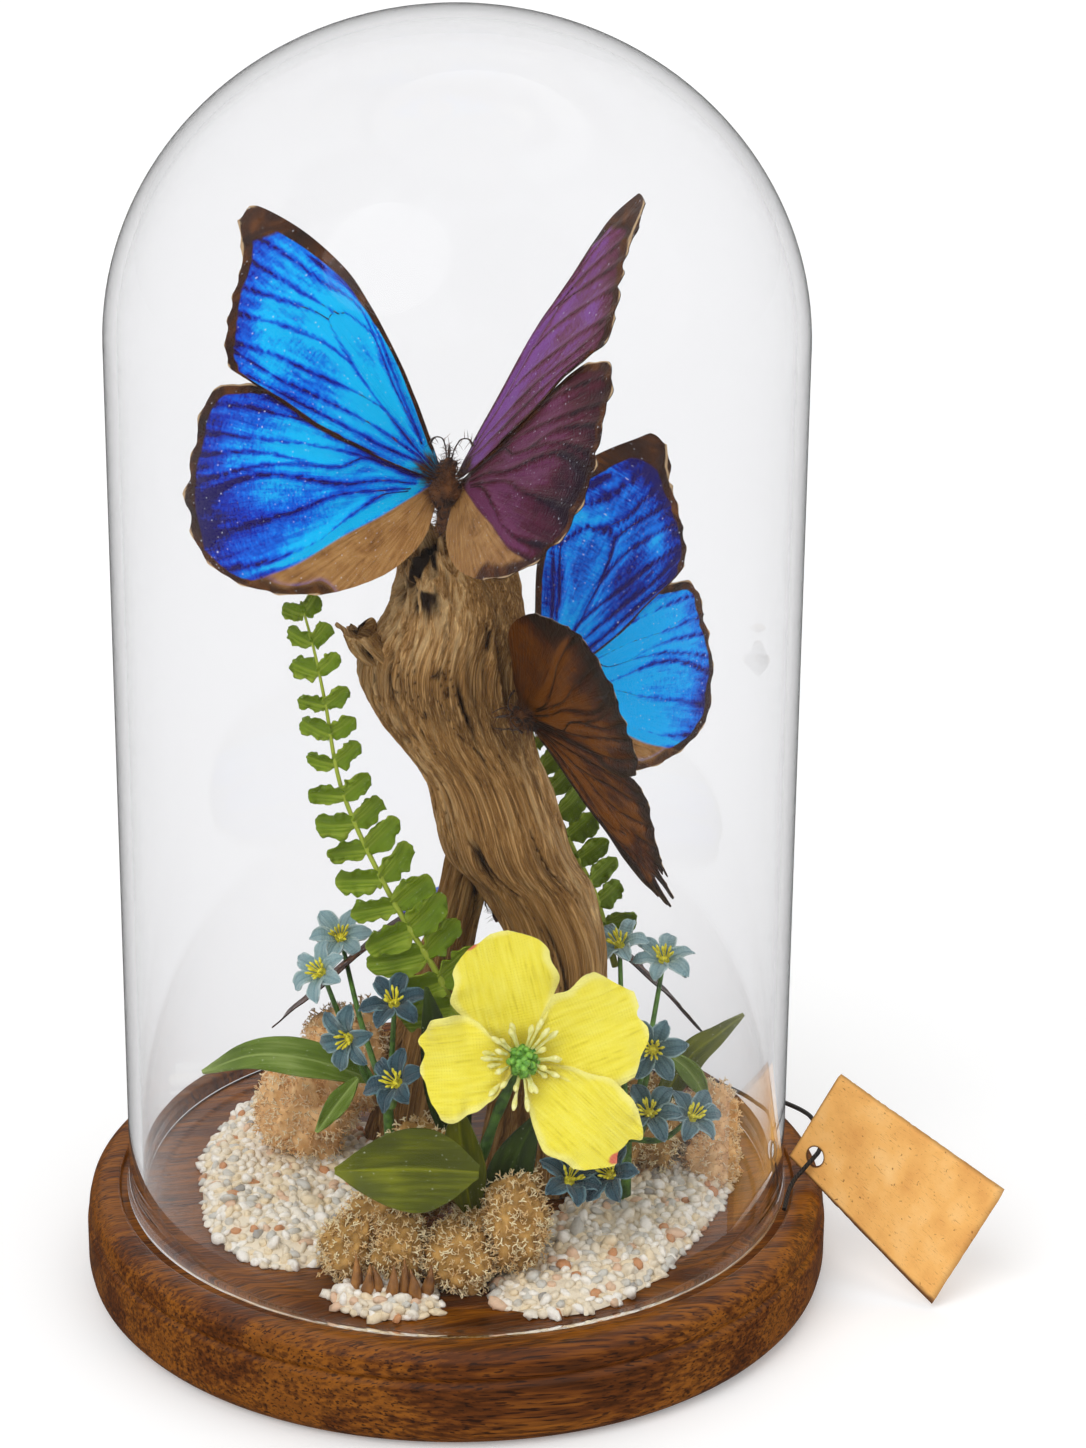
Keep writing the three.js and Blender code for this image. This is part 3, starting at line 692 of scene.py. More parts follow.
WOOD_TURN = (0.0, 0.05, math.radians(14))  # the plank's grain against the X axis
RINGS = Grain((150, 9, 9), 4, 0.5, True, WOOD_TURN)
FIBRES = Grain((16, 0.9, 0.9), 3, 0.0, True, WOOD_TURN)
PORES = Grain((5.5, 0.45, 0.45), 1, 0.0, True, WOOD_TURN)
LIMB_GRAIN = Grain((34, 0.95, 0.95), 4, 0.35)
LIMB_FINE = Grain((40, 0.42, 0.42), 3, 0.35)
LIMB_CLOUD = Grain((20, 6, 6), 3)
QUARTZ = Grain((1.3, 1.3, 1.3), 4, 0.0, True)
PULP_FIBRE = Grain((1.8, 0.25, 1), 2, 1.5)
FINISHES = {
    # Hardwood turned on a lathe, stained to walnut and lacquered: satin, with rings and short dark pores.
    "walnut": Finish("walnut_lacquered", 0.34, (
        Coat(((0.25, "#361a05"), (0.42, "#60310a"), (0.55, "#8a5010"), (0.68, "#60310a"), (0.85, "#3c1f06")),
             Measure(((RINGS, 0.7), (FIBRES, 0.3)))),
        stain("#321a0a", ((FIBRES, -1.0),), (-0.6, -0.35), 0.5),
        stain("#24120a", ((PORES, -1.0),), (-0.42, -0.34), 0.8),
    ), Measure(((PORES, 1.0), (FIBRES, 0.5))), 0.08,
        (("Specular IOR Level", 0.22), ("Coat Weight", 0.08), ("Coat Roughness", 0.25))),
    # Blown soda-lime glass: clear, smooth, with its usual refraction.
    "glass": Finish("clear_blown_glass", 0.0, constants=(
        ("Transmission Weight", 1.0), ("IOR", 1.46), ("Base Color", linear("#f5f5f6")),
        ("Specular Tint", (0.2, 0.2, 0.2, 1.0)))),
    # Driftwood, bare and weathered: pale ridges between dark grooves along the limb, and dark cracks and
    # hollows; painted light pales its lit left side, painted shade and shadow darken its right side near the
    # top and a band across it.
    "driftwood": Finish("driftwood_weathered", 0.9, (
        Coat(((0.34, "#3c240e"), (0.44, "#7c5528"), (0.54, "#a87c46"), (0.68, "#d2a96e")),
             Measure(((LIMB_GRAIN, 0.85), (LIMB_CLOUD, 0.15)))),
        stain("#5b3d20", ((LIMB_CLOUD, 1.0),), (0.52, 0.72), 0.5),
        # painted shade and shadow, and darker patches low down, from the value stored at the corners
        stain("#3a2511", (("stain", 1.0), (LIMB_GRAIN, 0.8)), strength=0.75, base=-0.4),
        # paler wood: painted light on the trunk's lit left side, and paler splinters and patches
        Coat(((0.36, "#8a6234"), (0.46, "#cba06a"), (0.62, "#f0d09a")), Measure(((LIMB_GRAIN, 1.0),)),
             Measure((("bleach", 1.0), (LIMB_GRAIN, 1.2)), -0.6), strength=0.8),
        Coat(((0.36, "#4a2e13"), (0.43, "#a87e48"), (0.48, "#2c190a"), (0.51, "#9c733e"), (0.56, "#43290f"),
              (0.62, "#c39a62")), Measure(((LIMB_FINE, 1.0),)), Measure((), 1.0), strength=0.55),
        stain("#1c1007", (("hollow", 1.0),)),
    ), Measure(((LIMB_GRAIN, 1.0), (LIMB_FINE, 1.0))), 0.6, (("Specular IOR Level", 0.2),)),
    "blue": wing_scales(Tone.BLUE),
    "far_blue": wing_scales(Tone.FAR_BLUE),
    # blue scales painted purple and maroon, as they look at a grazing angle
    "painted_grazing_purple": wing_scales(Tone.PAINTED_GRAZING_PURPLE, 0.38),
    "painted_grazing_maroon": wing_scales(Tone.PAINTED_GRAZING_MAROON, 0.38),
    "brown": wing_scales(Tone.BROWN, 0.3),
    "fur": moulded("body_fur", "#24120a", "#7a4c26", 2.2, 0.9, 0.5),
    "chitin": moulded("chitin", "#120b07", "#3a2413", 1.0, 0.35),
    "yellow_silk": silk("yellow_silk", "#b8a41c", "#efe03c", "#f8ee62", "#d23a50", "#f7f08a"),
    "blue_silk": silk("blue_silk", "#18303a", "#36545d", "#648489", "#101a22", "#93abac"),
    # copies of the blue silk in painted light and in painted shade, for flowers that stand lit and in shade
    "pale_blue_silk": silk("blue_silk_painted_light", "#4a6a72", "#76959a", "#9db5b6", "#2a4048", "#b4c6c4"),
    "deep_blue_silk": silk("blue_silk_painted_shade", "#0c1a22", "#1c3540", "#3a5a64", "#0a1218", "#64848a"),
    "leaf": foliage("leaf_coated", "#2a2c02", "#4a5003", "#7c800e"),
    "pale_leaf": foliage("leaf_pale", "#34470c", "#5d7420", "#93a55a"),
    "dark_leaf": foliage("leaf_dark", "#0d1604", "#1c2a08", "#3a4d12"),
    "fern": foliage("fern_moulded", "#2c4206", "#667f12", "#b4c04a", 0.5, 0.45),
    "stem": moulded("stem_moulded", "#2c4a14", "#5d8a2e"),
    "pistil": moulded("pistil_moulded", "#2c6a12", "#8cc850", 1.2, 0.45),
    "stamen": moulded("stamen_yellow", "#c9b818", "#f6ee4a", 1.0),
    "pale_stamen": moulded("stamen_pale", "#e2dc6e", "#f8f5b4", 1.0),
    "moss": moulded("reindeer_moss", "#e4bd80", "#fff2c8", 4.0, 0.95, 0.5),
    "tan_moss": moulded("reindeer_moss_tan", "#f0c48a", "#fff0cc", 4.0, 0.95, 0.5),
    # painted shade: the lobes under the tips are darker than the tips, for the gaps deep in the clump
    "painted_shade_moss_core": moulded("painted_shade_moss_core", "#8c6832", "#cca05c", 2.5, 0.95),
    "painted_shade_tan_core": moulded("moss_core_tan", "#d8a468", "#f8d09a", 2.5, 0.95),
    "husk": moulded("seed_husk", "#5a3413", "#b07a3e", 3.0, 0.5),
    # Crushed quartz and limestone: white and cream chips, some grey, pink or rusty, each in its own colour.
    "stone": Finish("gravel_chips", 0.6, (
        Coat(((0.0, "#f1e9d8"), (0.2, "#f8f3e8"), (0.44, "#ecdfc6"), (0.6, "#cfccc2"), (0.74, "#eedcba"),
              (0.88, "#e2bfa0"), (0.95, "#c98f62"), (0.98, "#a5a19a")), Measure((("shade", 1.0),)),
             banded=True),
        stain("#b3a284", ((QUARTZ, -1.0),), (-0.5, -0.3), 0.4),
    ), Measure(((QUARTZ, 1.0),)), 0.3),
    # Unbleached kraft card: brown pulp with darker flecks of fibre, a rubbed edge, darkest along the lower
    # edge, and painted shade round the hole.
    "kraft": Finish("kraft_card", 0.85, (
        Coat(((0.3, "#dc9d54"), (0.5, "#ecb265"), (0.7, "#f4c37e")), Measure(((Grain((9, 9, 1), 4), 1.0),))),
        stain("#8a5a2e", ((Grain((1.1, 0.8, 1), 2, 0.5), 1.0),), (0.66, 0.74), 0.8),
        stain("#a06c3e", ((PULP_FIBRE, -1.0),), (-0.38, -0.3), 0.5),
        # rubbed edges, and painted shade round the hole
        stain("#5e381b", (("worn", 1.0),)),
    ), Measure(((PULP_FIBRE, 1.0),)), 0.06),
    # Waxed black thread: strands twisted together, with painted highlights in slanted bands where the strands
    # catch the light.
    "thread": Finish("waxed_thread", 0.55, (
        Coat(((0.0, "#0d0b0a"), (1.0, "#2f2a26")), Measure(((Threads(0.6, 0.8), 1.0),))),
    ), Measure(((Threads(0.6, 0.8), 1.0),)), 0.12),
    "floor": Finish("studio_floor", 0.9, (
        Coat(((0.0, "#e9e9e9"), (1.0, "#ececec")), Measure(((Grain((300, 300, 300), 1, inside=True), 1.0),))),
    ), constants=(("Emission Color", (1.0, 1.0, 1.0, 1.0)), ("Emission Strength", 0.2))),
}


class Workshop:
    """Makes each finish once, on its first use."""

    def __init__(self) -> None:
        """Starts with an empty shelf."""
        self.shelf: dict[str, Material] = {}

    def take(self, *names: str) -> list[Material]:
        """Takes finishes off the shelf.

        Args:
            *names: which ones.

        Returns:
            Their materials.
        """
        for name in names:
            if name not in self.shelf:
                self.shelf[name] = FINISHES[name].build()
        return [self.shelf[name] for name in names]


SHOP = Workshop()


# ---------- camera, light and floor ----------
@dataclass
class Studio:
    """The camera, a pale floor, and soft light from large lamps and all around."""

    camera_at: Point = (17.6, -745.7, 414.0)
    sight: Point = (0.0, 0.932, -0.362)
    roll: float = 0.0095
    lens: float = 96.71
    floor_reach: float = 6000.0
    glow: float = 0.5  # of the walls, on what they light

    def camera(self) -> None:
        """Sets the camera up."""
        data = bpy.data.cameras.new("camera")
        data.lens = self.lens
        data.clip_end = CAMERA_SIGHT
        made = bpy.data.objects.new("camera", data)
        bpy.context.scene.collection.objects.link(made)
        turn = Vector(self.sight).to_track_quat("-Z", "Y").to_matrix() @ Matrix.Rotation(self.roll, 3, "Z")
        made.matrix_world = Matrix.Translation(Vector(self.camera_at) * METRES) @ turn.to_4x4()
        bpy.context.scene.camera = made

    def lamp(self, name: str, way: Point, spread: float, strength: float) -> None:
        """Adds a distant soft lamp, kept out of reflections.

        Args:
            name: its name.
            way: the way from the display to the lamp.
            spread: how wide the lamp looks, in degrees.
            strength: how much it gives.
        """
        data = bpy.data.lights.new(name, "SUN")
        data.angle = math.radians(spread)
        data.energy = strength
        made = bpy.data.objects.new(name, data)
        bpy.context.scene.collection.objects.link(made)
        made.matrix_world = Vector(way).to_track_quat("Z", "Y").to_matrix().to_4x4()
        made.visible_glossy = False

    def light(self) -> None:
        """Adds the lamps and white walls, which are darker in reflections, as behind black flags."""
        self.lamp("key", (-0.45, -0.75, 0.9), 40, 1.5)
        self.lamp("fill", (0.9, -0.5, 0.6), 60, 0.5)
        self.lamp("top", (0.1, 0.2, 1), 50, 0.5)
        world = bpy.data.worlds.new("studio")
        world.use_nodes = True
        tree = world.node_tree
        path = add(tree, "ShaderNodeLightPath").outputs
        sight = add(tree, "ShaderNodeTexCoord").outputs["Generated"]
        high = add(tree, "ShaderNodeSeparateXYZ", None, {0: sight}).outputs["Z"]
        kinds = {0: path["Is Glossy Ray"], 1: path["Is Transmission Ray"]}
        mirrored = add(tree, "ShaderNodeMath", {"operation": "SUBTRACT", "use_clamp": True}, kinds).outputs[0]
        lit = add(tree, "ShaderNodeMapRange", None, {
            "Value": path["Is Diffuse Ray"], "To Min": 1.0, "To Max": self.glow}).outputs[0]
        sky = add(tree, "ShaderNodeMapRange", None, {
            "Value": high, "From Min": 0.0, "From Max": 0.9, "To Min": 0.06, "To Max": 1.0}).outputs[0]
        shares = {0: mirrored, 2: lit, 3: sky}
        strength = add(tree, "ShaderNodeMix", {"data_type": "FLOAT"}, shares).outputs[0]
        tree.links.new(strength, tree.nodes["Background"].inputs["Strength"])
        tree.nodes["Background"].inputs["Color"].default_value = linear("#ffffff")
        bpy.context.scene.world = world
        bpy.context.scene.view_settings.view_transform = "Standard"

    def floor(self) -> None:
        """Adds the floor under the base's underside."""
        solid = Solid()
        reach = np.linspace(-self.floor_reach, self.floor_reach, 5)
        x, y = np.meshgrid(reach, reach, indexing="xy")
        solid.grid(np.stack([x, y, np.full_like(x, -0.1)], axis=-1))
        floor = solid.make("floor", SHOP.take("floor"))
        floor.visible_glossy = False


# ---------- turned base and glass dome ----------
def lathe(solid: Solid, profile: np.ndarray, segments: int) -> None:
    """Adds a body of revolution round the Z axis.

    Args:
        solid: the mesh that gets it.
        profile: radius and height, from the axis round the body's section and back to the axis, with the
            body on the left.
        segments: how many steps round.
    """
    turn = circle(segments)
    radius, height = profile[1:-1, :1], profile[1:-1, 1:]
    ring = np.stack([radius * np.cos(turn), radius * np.sin(turn), height + 0 * turn], axis=-1)
    solid.grid(ring, ring=True, poles=np.array([[0, 0, profile[0, 1]], [0, 0, profile[-1, 1]]]))


def rounded(corners: Sequence[Point], radius: float, steps: int = 4) -> np.ndarray:
    """Rounds the corners of a profile.

    Args:
        corners: its points.
        radius: how far from each corner the curve starts, at most 0.4 of the shorter side there.
        steps: how many spans each curve has.

    Returns:
        The points of the rounded profile.
    """
    p = np.array(corners, float)
    out = [p[0]]
    for a, b, c in zip(p, p[1:], p[2:]):
        reach = min(radius, 0.4 * np.linalg.norm(b - a), 0.4 * np.linalg.norm(c - b))
        start, end = b + unit(a - b) * reach, b + unit(c - b) * reach
        for t in np.linspace(0, 1, steps + 1):
            out.append((1 - t) ** 2 * start + 2 * t * (1 - t) * b + t**2 * end)
    return np.array([*out, p[-1]])


@dataclass
class Base:
    """The turned wooden base, with a groove that holds the glass."""

    profile: tuple[Point, ...] = (
        (0, 0), (74.6, 0), (77, 0.9), (78.6, 2.8), (79.2, 5.4), (79.2, 14), (77.9, 15.2), (78.9, 16.4),
        (78.2, 19.4), (76.4, 21), (74.6, 21.4), (72.2, 21.4), (72.2, 19.6), (64.5, 19.6), (63.7, 19), (0, 19))
    segments: int = 256

    def build(self) -> None:
        """Turns the base with crisp, slightly rounded corners."""
        solid = Solid()
        lathe(solid, rounded(self.profile, 0.7), self.segments)
        dress(solid, "base", "walnut", "walnut", sharp=50)


@dataclass
class Dome:
    """The blown glass dome, with a thicker rolled foot."""

    radius: float = 70.0
    wall: float = 2.8
    shoulder: float = 206.0
    cap: float = 65.4
    lip: tuple[Point, ...] = ((-0.9, 19.9), (0.6, 21.1), (0.6, 22.0), (0.0, 23.9))  # past the radius, height
    lip_inside: tuple[Point, ...] = ((0.0, 23.9), (0.0, 21.1), (0.7, 19.9))
    side_from: float = 27.0
    segments: int = 192

    def build(self) -> None:
        """Blows the wall in one piece: from the top down the inside, round the foot and up the outside."""
        turn = np.linspace(0, math.pi / 2, 40)[1:-1]
        side = np.linspace(self.side_from, self.shoulder, 24)
        inner, inner_cap = self.radius - self.wall, self.cap - self.wall
        profile = [(0.0, self.shoulder + inner_cap)]
        profile += [(inner * math.cos(t), self.shoulder + inner_cap * math.sin(t)) for t in turn[::-1]]
        profile += [(inner, z) for z in side[::-1]] + [(inner + r, z) for r, z in self.lip_inside]
        profile += [(self.radius + r, z) for r, z in self.lip] + [(self.radius, z) for z in side]
        profile += [(self.radius * math.cos(t), self.shoulder + self.cap * math.sin(t)) for t in turn]
        profile += [(0.0, self.shoulder + self.cap)]
        solid = Solid()
        lathe(solid, np.array(profile), self.segments)
        made = dress(solid, "glass_dome", "glass", "glass", sharp=60)
        made.visible_shadow = False
        made.visible_diffuse = False


# ---------- small copies, by Geometry Nodes ----------
@dataclass(frozen=True)
class Scatter:
    """Many small copies of one shape on a surface: how close, how large and how irregular they are."""

    spacing: float  # least distance between two, in millimetres
    smallest: tuple[float, float, float]  # scale along each of the copy's axes
    largest: tuple[float, float, float]
    lean: float  # largest lean from the surface's normal, in radians
    rough: float = 0.0  # how far each copy's corners are moved at random, in millimetres
    crop: float = 1.0  # share of the places that are used

    def tree(self) -> NodeTree:
        """Makes the node tree.

        Returns:
            The tree, with its sizes as named inputs.
        """
        tree = bpy.data.node_groups.new("scatter", "GeometryNodeTree")
        face = tree.interface
        kinds = {"Surface": "Geometry", "Shape": "Object", "Finish": "Material", "Seed": "Int",
                 "Spacing": "Float", "Share": "Float", "Lean": "Float", "Smallest": "Vector",
                 "Largest": "Vector", "Roughness": "Float"}
        for name, kind in kinds.items():
            face.new_socket(name=name, in_out="INPUT", socket_type=f"NodeSocket{kind}")
        face.new_socket(name="Result", in_out="OUTPUT", socket_type="NodeSocketGeometry")
        given = add(tree, "NodeGroupInput").outputs
        bare = add(tree, "GeometryNodeInputNamedAttribute", {"data_type": "FLOAT"}, {"Name": "bare"})
        used = add(tree, "ShaderNodeMath", {"operation": "SUBTRACT", "use_clamp": True}, {
            0: given["Share"], 1: bare.outputs["Attribute"]}).outputs[0]
        places = add(tree, "GeometryNodeDistributePointsOnFaces", {"distribute_method": "POISSON"}, {
            "Mesh": given["Surface"], "Distance Min": given["Spacing"], "Density Max": CLOSEST,
            "Density Factor": used, "Seed": given["Seed"]})
        most = given["Lean"]
        least = add(tree, "ShaderNodeMath", {"operation": "MULTIPLY"}, {0: most, 1: -1.0}).outputs[0]
        low = add(tree, "ShaderNodeCombineXYZ", None, {"X": least, "Y": least, "Z": -math.pi}).outputs[0]
        high = add(tree, "ShaderNodeCombineXYZ", None, {"X": most, "Y": most, "Z": math.pi}).outputs[0]
        lean = add(tree, "FunctionNodeRandomValue", {"data_type": "FLOAT_VECTOR"}, {
            0: low, 1: high, "Seed": 1})
        turn = add(tree, "FunctionNodeRotateRotation", {"rotation_space": "LOCAL"}, {
            "Rotation": places.outputs["Rotation"], "Rotate By": lean.outputs[0]}).outputs[0]
        size = add(tree, "FunctionNodeRandomValue", {"data_type": "FLOAT_VECTOR"}, {
            0: given["Smallest"], 1: given["Largest"], "Seed": 2}).outputs[0]
        shape = add(tree, "GeometryNodeObjectInfo", {"transform_space": "ORIGINAL"}, {
            "Object": given["Shape"]})
        copies = add(tree, "GeometryNodeInstanceOnPoints", None, {
            "Points": places.outputs["Points"], "Instance": shape.outputs["Geometry"], "Rotation": turn,
            "Scale": size}).outputs[0]
        shade = add(tree, "FunctionNodeRandomValue", {"data_type": "FLOAT"}, {"Seed": 3}).outputs[1]
        copies = add(tree, "GeometryNodeStoreNamedAttribute", {"data_type": "FLOAT", "domain": "INSTANCE"}, {
            "Geometry": copies, "Name": "shade", "Value": shade}).outputs[0]
        copies = add(tree, "GeometryNodeRealizeInstances", None, {0: copies}).outputs[0]
        stir = add(tree, "ShaderNodeTexNoise", None, {"Scale": STIR_SCALE, "Detail": 0.0}).outputs["Color"]
        stir = add(tree, "ShaderNodeVectorMath", {"operation": "SUBTRACT"}, {
            0: stir, 1: (0.5, 0.5, 0.5)}).outputs[0]
        stir = add(tree, "ShaderNodeVectorMath", {"operation": "SCALE"}, {
            0: stir, "Scale": given["Roughness"]}).outputs[0]
        copies = add(tree, "GeometryNodeSetPosition", None, {"Geometry": copies, "Offset": stir}).outputs[0]
        copies = add(tree, "GeometryNodeSetMaterial", None, {
            "Geometry": copies, "Material": given["Finish"]}).outputs[0]
        both = add(tree, "GeometryNodeJoinGeometry")
        tree.links.new(given["Surface"], both.inputs[0])
        tree.links.new(copies, both.inputs[0])
        add(tree, "NodeGroupOutput", None, {0: both.outputs[0]})
        return tree

    def on(self, piece: Object, shape: Object, finish: str, seed: int,
           ground: float = 0.0) -> None:
        """Sets the copies on a piece and makes the result its plain mesh.

        Args:
            piece: the surface.
            shape: what is copied, a millimetre long or wide.
            finish: the copies' finish.
            seed: picks their places.
            ground: the height that nothing goes below, in millimetres.
        """
        tree = self.tree()
        modifier = piece.modifiers.new("scatter", "NODES")
        modifier.node_group = tree
        wanted = {"Shape": shape, "Finish": SHOP.take(finish)[0], "Seed": seed,
                  "Spacing": self.spacing * METRES, "Share": self.crop, "Lean": self.lean,
                  "Smallest": self.smallest, "Largest": self.largest, "Roughness": 2 * self.rough * METRES}
        for socket in tree.interface.items_tree:
            if socket.name in wanted:
                modifier[socket.identifier] = wanted[socket.name]
        view = bpy.context.evaluated_depsgraph_get()
        shown = piece.evaluated_get(view)
        done = bpy.data.meshes.new_from_object(shown, preserve_all_data_layers=True, depsgraph=view)
        piece.modifiers.clear()
        places = np.empty(len(done.vertices) * 3, np.float32)
        done.vertices.foreach_get("co", places)
        places[2::3] = np.maximum(places[2::3], ground * METRES)
        done.vertices.foreach_set("co", places)
        old = piece.data
        piece.data = done
        bpy.data.meshes.remove(old)


class Shapes:
    """The small shapes that are copied, each about a millimetre in size and kept out of the render."""

    def keep(self, made: Object) -> Object:
        """Takes a shape out of the scene and returns it."""
        bpy.context.scene.collection.objects.unlink(made)
        return made

    def hair(self) -> Object:
        """Makes a hair.

        Returns:
            A curved, pointed hair.
        """
        solid = Solid()
        path = np.array([(0, 0, 0), (0.02, 0.06, 0.5), (0.05, 0.22, 1.0)])
        solid.tube(path, np.array([0.045, 0.035, 0.006]), 3)
        return self.keep(solid.make("hair", [], 180))

    def chip(self) -> Object:
        """Makes a stone chip.

        Returns:
            An angular chip, flattened on a few sides.
        """
        rng = np.random.default_rng(5)
        turns = circle(8)
        rows = []
        for height in np.linspace(-0.92, 0.92, 5):
            radius = math.sqrt(1 - height**2) * rng.uniform(0.85, 1.1, 8)
            ring = [radius * np.cos(turns), radius * np.sin(turns), np.full(8, height)]
            rows.append(np.stack(ring, axis=-1))
        grid = np.array(rows)
        for _ in range(5):
            way = unit(rng.normal(size=3))
            past = np.maximum(grid @ way - 0.8, 0)
            grid = grid - past[..., None] * way
        solid = Solid()
        solid.grid(grid, ring=True)
        return self.keep(solid.make("chip", [], 60))

    def sprig(self) -> Object:
        """Makes a little antler of moss.

        Returns:
            A stalk that forks twice into blunt tips.
        """
        rng = np.random.default_rng(12)
        solid = Solid()

        def grow(start: np.ndarray, way: np.ndarray, length: float, radius: float,
                 level: int) -> None:
            """Grows one stalk and what forks from it.

            Args:
                start: its foot.
                way: the way that it points.
                length: its length.
                radius: its radius at the foot.
                level: how many more times it forks.
            """
            end = start + way * length
            solid.tube(np.array([start, end]), np.array([radius, radius * 0.75]), 3)
            if level:
                for _ in range(3 if level == 2 else 1):
                    grow(end, unit(way + rng.normal(size=3) * 0.75), length * 0.7, radius * 0.8, level - 1)

        grow(np.zeros(3), np.array([0, 0, 1.0]), 0.42, 0.1, 2)
        return self.keep(solid.make("sprig", [], 180))


SHAPES: dict[str, Object] = {}
HAIR = Scatter(0.34, (1.1, 1.1, 1.1), (1.8, 1.8, 2.2), 0.6)


# ---------- driftwood ----------
@dataclass
class Driftwood:
    """The upright piece of driftwood: a trunk, a rear limb that joins it in an arch, and a broken stub."""

    trunk: tuple[Point, ...] = (  # of each limb: x, y, z, half its width and half its depth
        (20, 4, 19.5, 15, 12), (21, 3, 40, 13, 11), (21.3, 1, 60, 11, 10), (20.5, 1, 76, 10.5, 10),
        (15.8, 1, 88, 11.8, 10), (10.4, 0, 97, 13.2, 11), (5.6, 0, 113, 12.2, 10.5), (-0.6, 0, 126, 15, 12),
        (-3, 0, 138, 16.6, 13), (-0.6, 0, 150, 13.8, 12), (-1.2, 0, 160, 11, 9.5), (-3, -1, 167, 6, 5))
    rear_limb: tuple[Point, ...] = (
        (-12, 16, 19.5, 9, 7), (-8, 13, 45, 7, 6.5), (-2.5, 10, 70, 5.5, 6), (1.5, 7, 88, 5.2, 5.5),
        (5, 4, 104, 4, 4.5))
    stub: tuple[Point, ...] = ((-12, -2, 138, 5, 5), (-17, -3, 142, 4.6, 5), (-20.5, -4, 147.5, 3, 3.4))
    flute: float = 0.9  # depth of the long grooves
    crown: float = 5.0  # how far the broken top's splinters stand up or down

    def limb(self, stations: Sequence[Point], rows: int, columns: int, seed: int, broken: float) -> Solid:
        """Grows one limb.

        Args:
            stations: centre and half widths at places along it.
            rows: steps along it.
            columns: steps round it.
            seed: picks its grooves.
            broken: 1 for a splintered end, 0 for a plain one.

        Returns:
            The limb's mesh.
        """
        line = curve(stations, rows)
        t = np.linspace(0, 1, rows)[:, None]
        turn = circle(columns)[None] + 0 * t
        mean = line[:, 3:5].mean(axis=1)[:, None]
        height = line[:, 2:3] + 0 * turn
        twist = turn + height * 0.012
        ring = np.stack([np.cos(twist), np.sin(twist)], axis=-1)

        def over(around: float, along: float, shift: int, layers: int = 1) -> np.ndarray:
            """Returns a random pattern over the bark, with its size round and along the limb."""
            places = np.concatenate([ring * (mean / around)[..., None], height[..., None] / along], axis=-1)
            return noise(places, seed + shift, layers)

        lumps = over(8, 22, 1, 2)
        flutes = 1 - 2 * np.abs(over(2.2, 48, 2, 2))
        strands = over(1.1, 34, 3, 2)
        cracks = step(0.9, 1.0, 1 - np.abs(over(5.5, 60, 4))) * step(-0.1, 0.3, over(9, 16, 5))
        torn = broken * step(0.84, 1.0, t)
        splinters = over(2.2, 90, 6, 2)
        side = np.cos(turn)
        pits = step(-0.05, 0.25, over(2.2, 10, 7, 2)) * broken * step(0.84, 0.93, t) * step(0.2, -0.6, side)
        splits = bell(over(2.4, 40, 12, 2), 0, 0.035) * step(-0.05, 0.25, over(7, 18, 13))
        swell = 0.9 * lumps + self.flute * 0.5 * flutes + 0.45 * strands
        swell = swell - 2.6 * cracks - 1.6 * pits - 0.7 * splits
        swell = np.minimum(swell, 1.8) + torn * splinters * 2.2
        flat = np.stack([side * line[:, 3:4], np.sin(turn) * line[:, 4:5], 0 * turn], axis=-1)
        away = unit(flat)
        points = line[:, None, :3] + flat + away * swell[..., None]
        points[..., 2] += torn * (splinters * self.crown - 1.5)
        points[..., 2] = np.maximum(points[..., 2], FLOOR + 0.1)
        # Darker places: painted shadow in a band slanting round the trunk near 132 mm, where the stub and the
        # side butterfly's wing shade it; a patchy darker band near 98 mm; darker patches towards the foot;
        # and painted shade on the right side above about 140 mm.
        band = bell(height + 7 * side, 132, 7) + bell(height, 98, 12) * (0.4 + 0.5 * over(3, 30, 8))
        darker_low = step(60, 24, height) * step(-0.3, 0.6, over(8, 14, 9))
        painted_shade = step(-0.2, 0.9, side) * step(128, 150, height)
        stain = np.clip(0.8 * painted_shade + 0.75 * band + 0.55 * darker_low, 0, 1)
        hollow = cracks * 1.2 + pits * 1.1 + 0.85 * splits + 0.4 * step(-0.1, -0.8, flutes)
        # Paler places: painted light on the left face above about 90 mm and on the left half above about 141
        # mm, where the lamp falls on it; also the raised splinters of the broken top, and the right side
        # below about 118 mm.
        bleach = 0.6 * step(0.5, 0.95, side) * step(125, 112, height) + 0.7 * torn * step(0.1, 0.6, splinters)
        bleach += 0.8 * step(138, 145, height) * step(0.6, -0.1, side)
        bleach += 0.35 * step(-0.2, -0.8, side) * step(80, 100, height)
        bleach = np.clip(bleach, 0, 1)
        # a near-black patch on the front left of the broken top, above about 152 mm
        top_dark_patch = bell(side, -0.5, 0.38) * (np.sin(turn) < 0) * step(149, 156, height) * broken
        top_dark_patch = top_dark_patch * step(-0.25, 0.15, over(1.7, 16, 15, 2))
        hollow = np.clip(hollow * (1 - 0.6 * bleach) + 1.1 * top_dark_patch, 0, 1)
        place = np.concatenate([height[..., None], flat[..., :2]], axis=-1)
        solid = Solid()
        solid.grid(points, ring=True, place=place, stain=stain, hollow=hollow, bleach=bleach)
        return solid

    def build(self) -> None:
        """Grows the three limbs."""
        parts = (("driftwood_trunk", self.trunk, 320, 220, 11, 1.0),
                 ("driftwood_rear_limb", self.rear_limb, 160, 110, 23, 0.0),
                 ("driftwood_stub", self.stub, 60, 80, 31, 1.0))
        for name, stations, rows, columns, seed, broken in parts:
            solid = self.limb(stations, rows, columns, seed, broken)
            dress(solid, name, "driftwood", "driftwood", sharp=70)


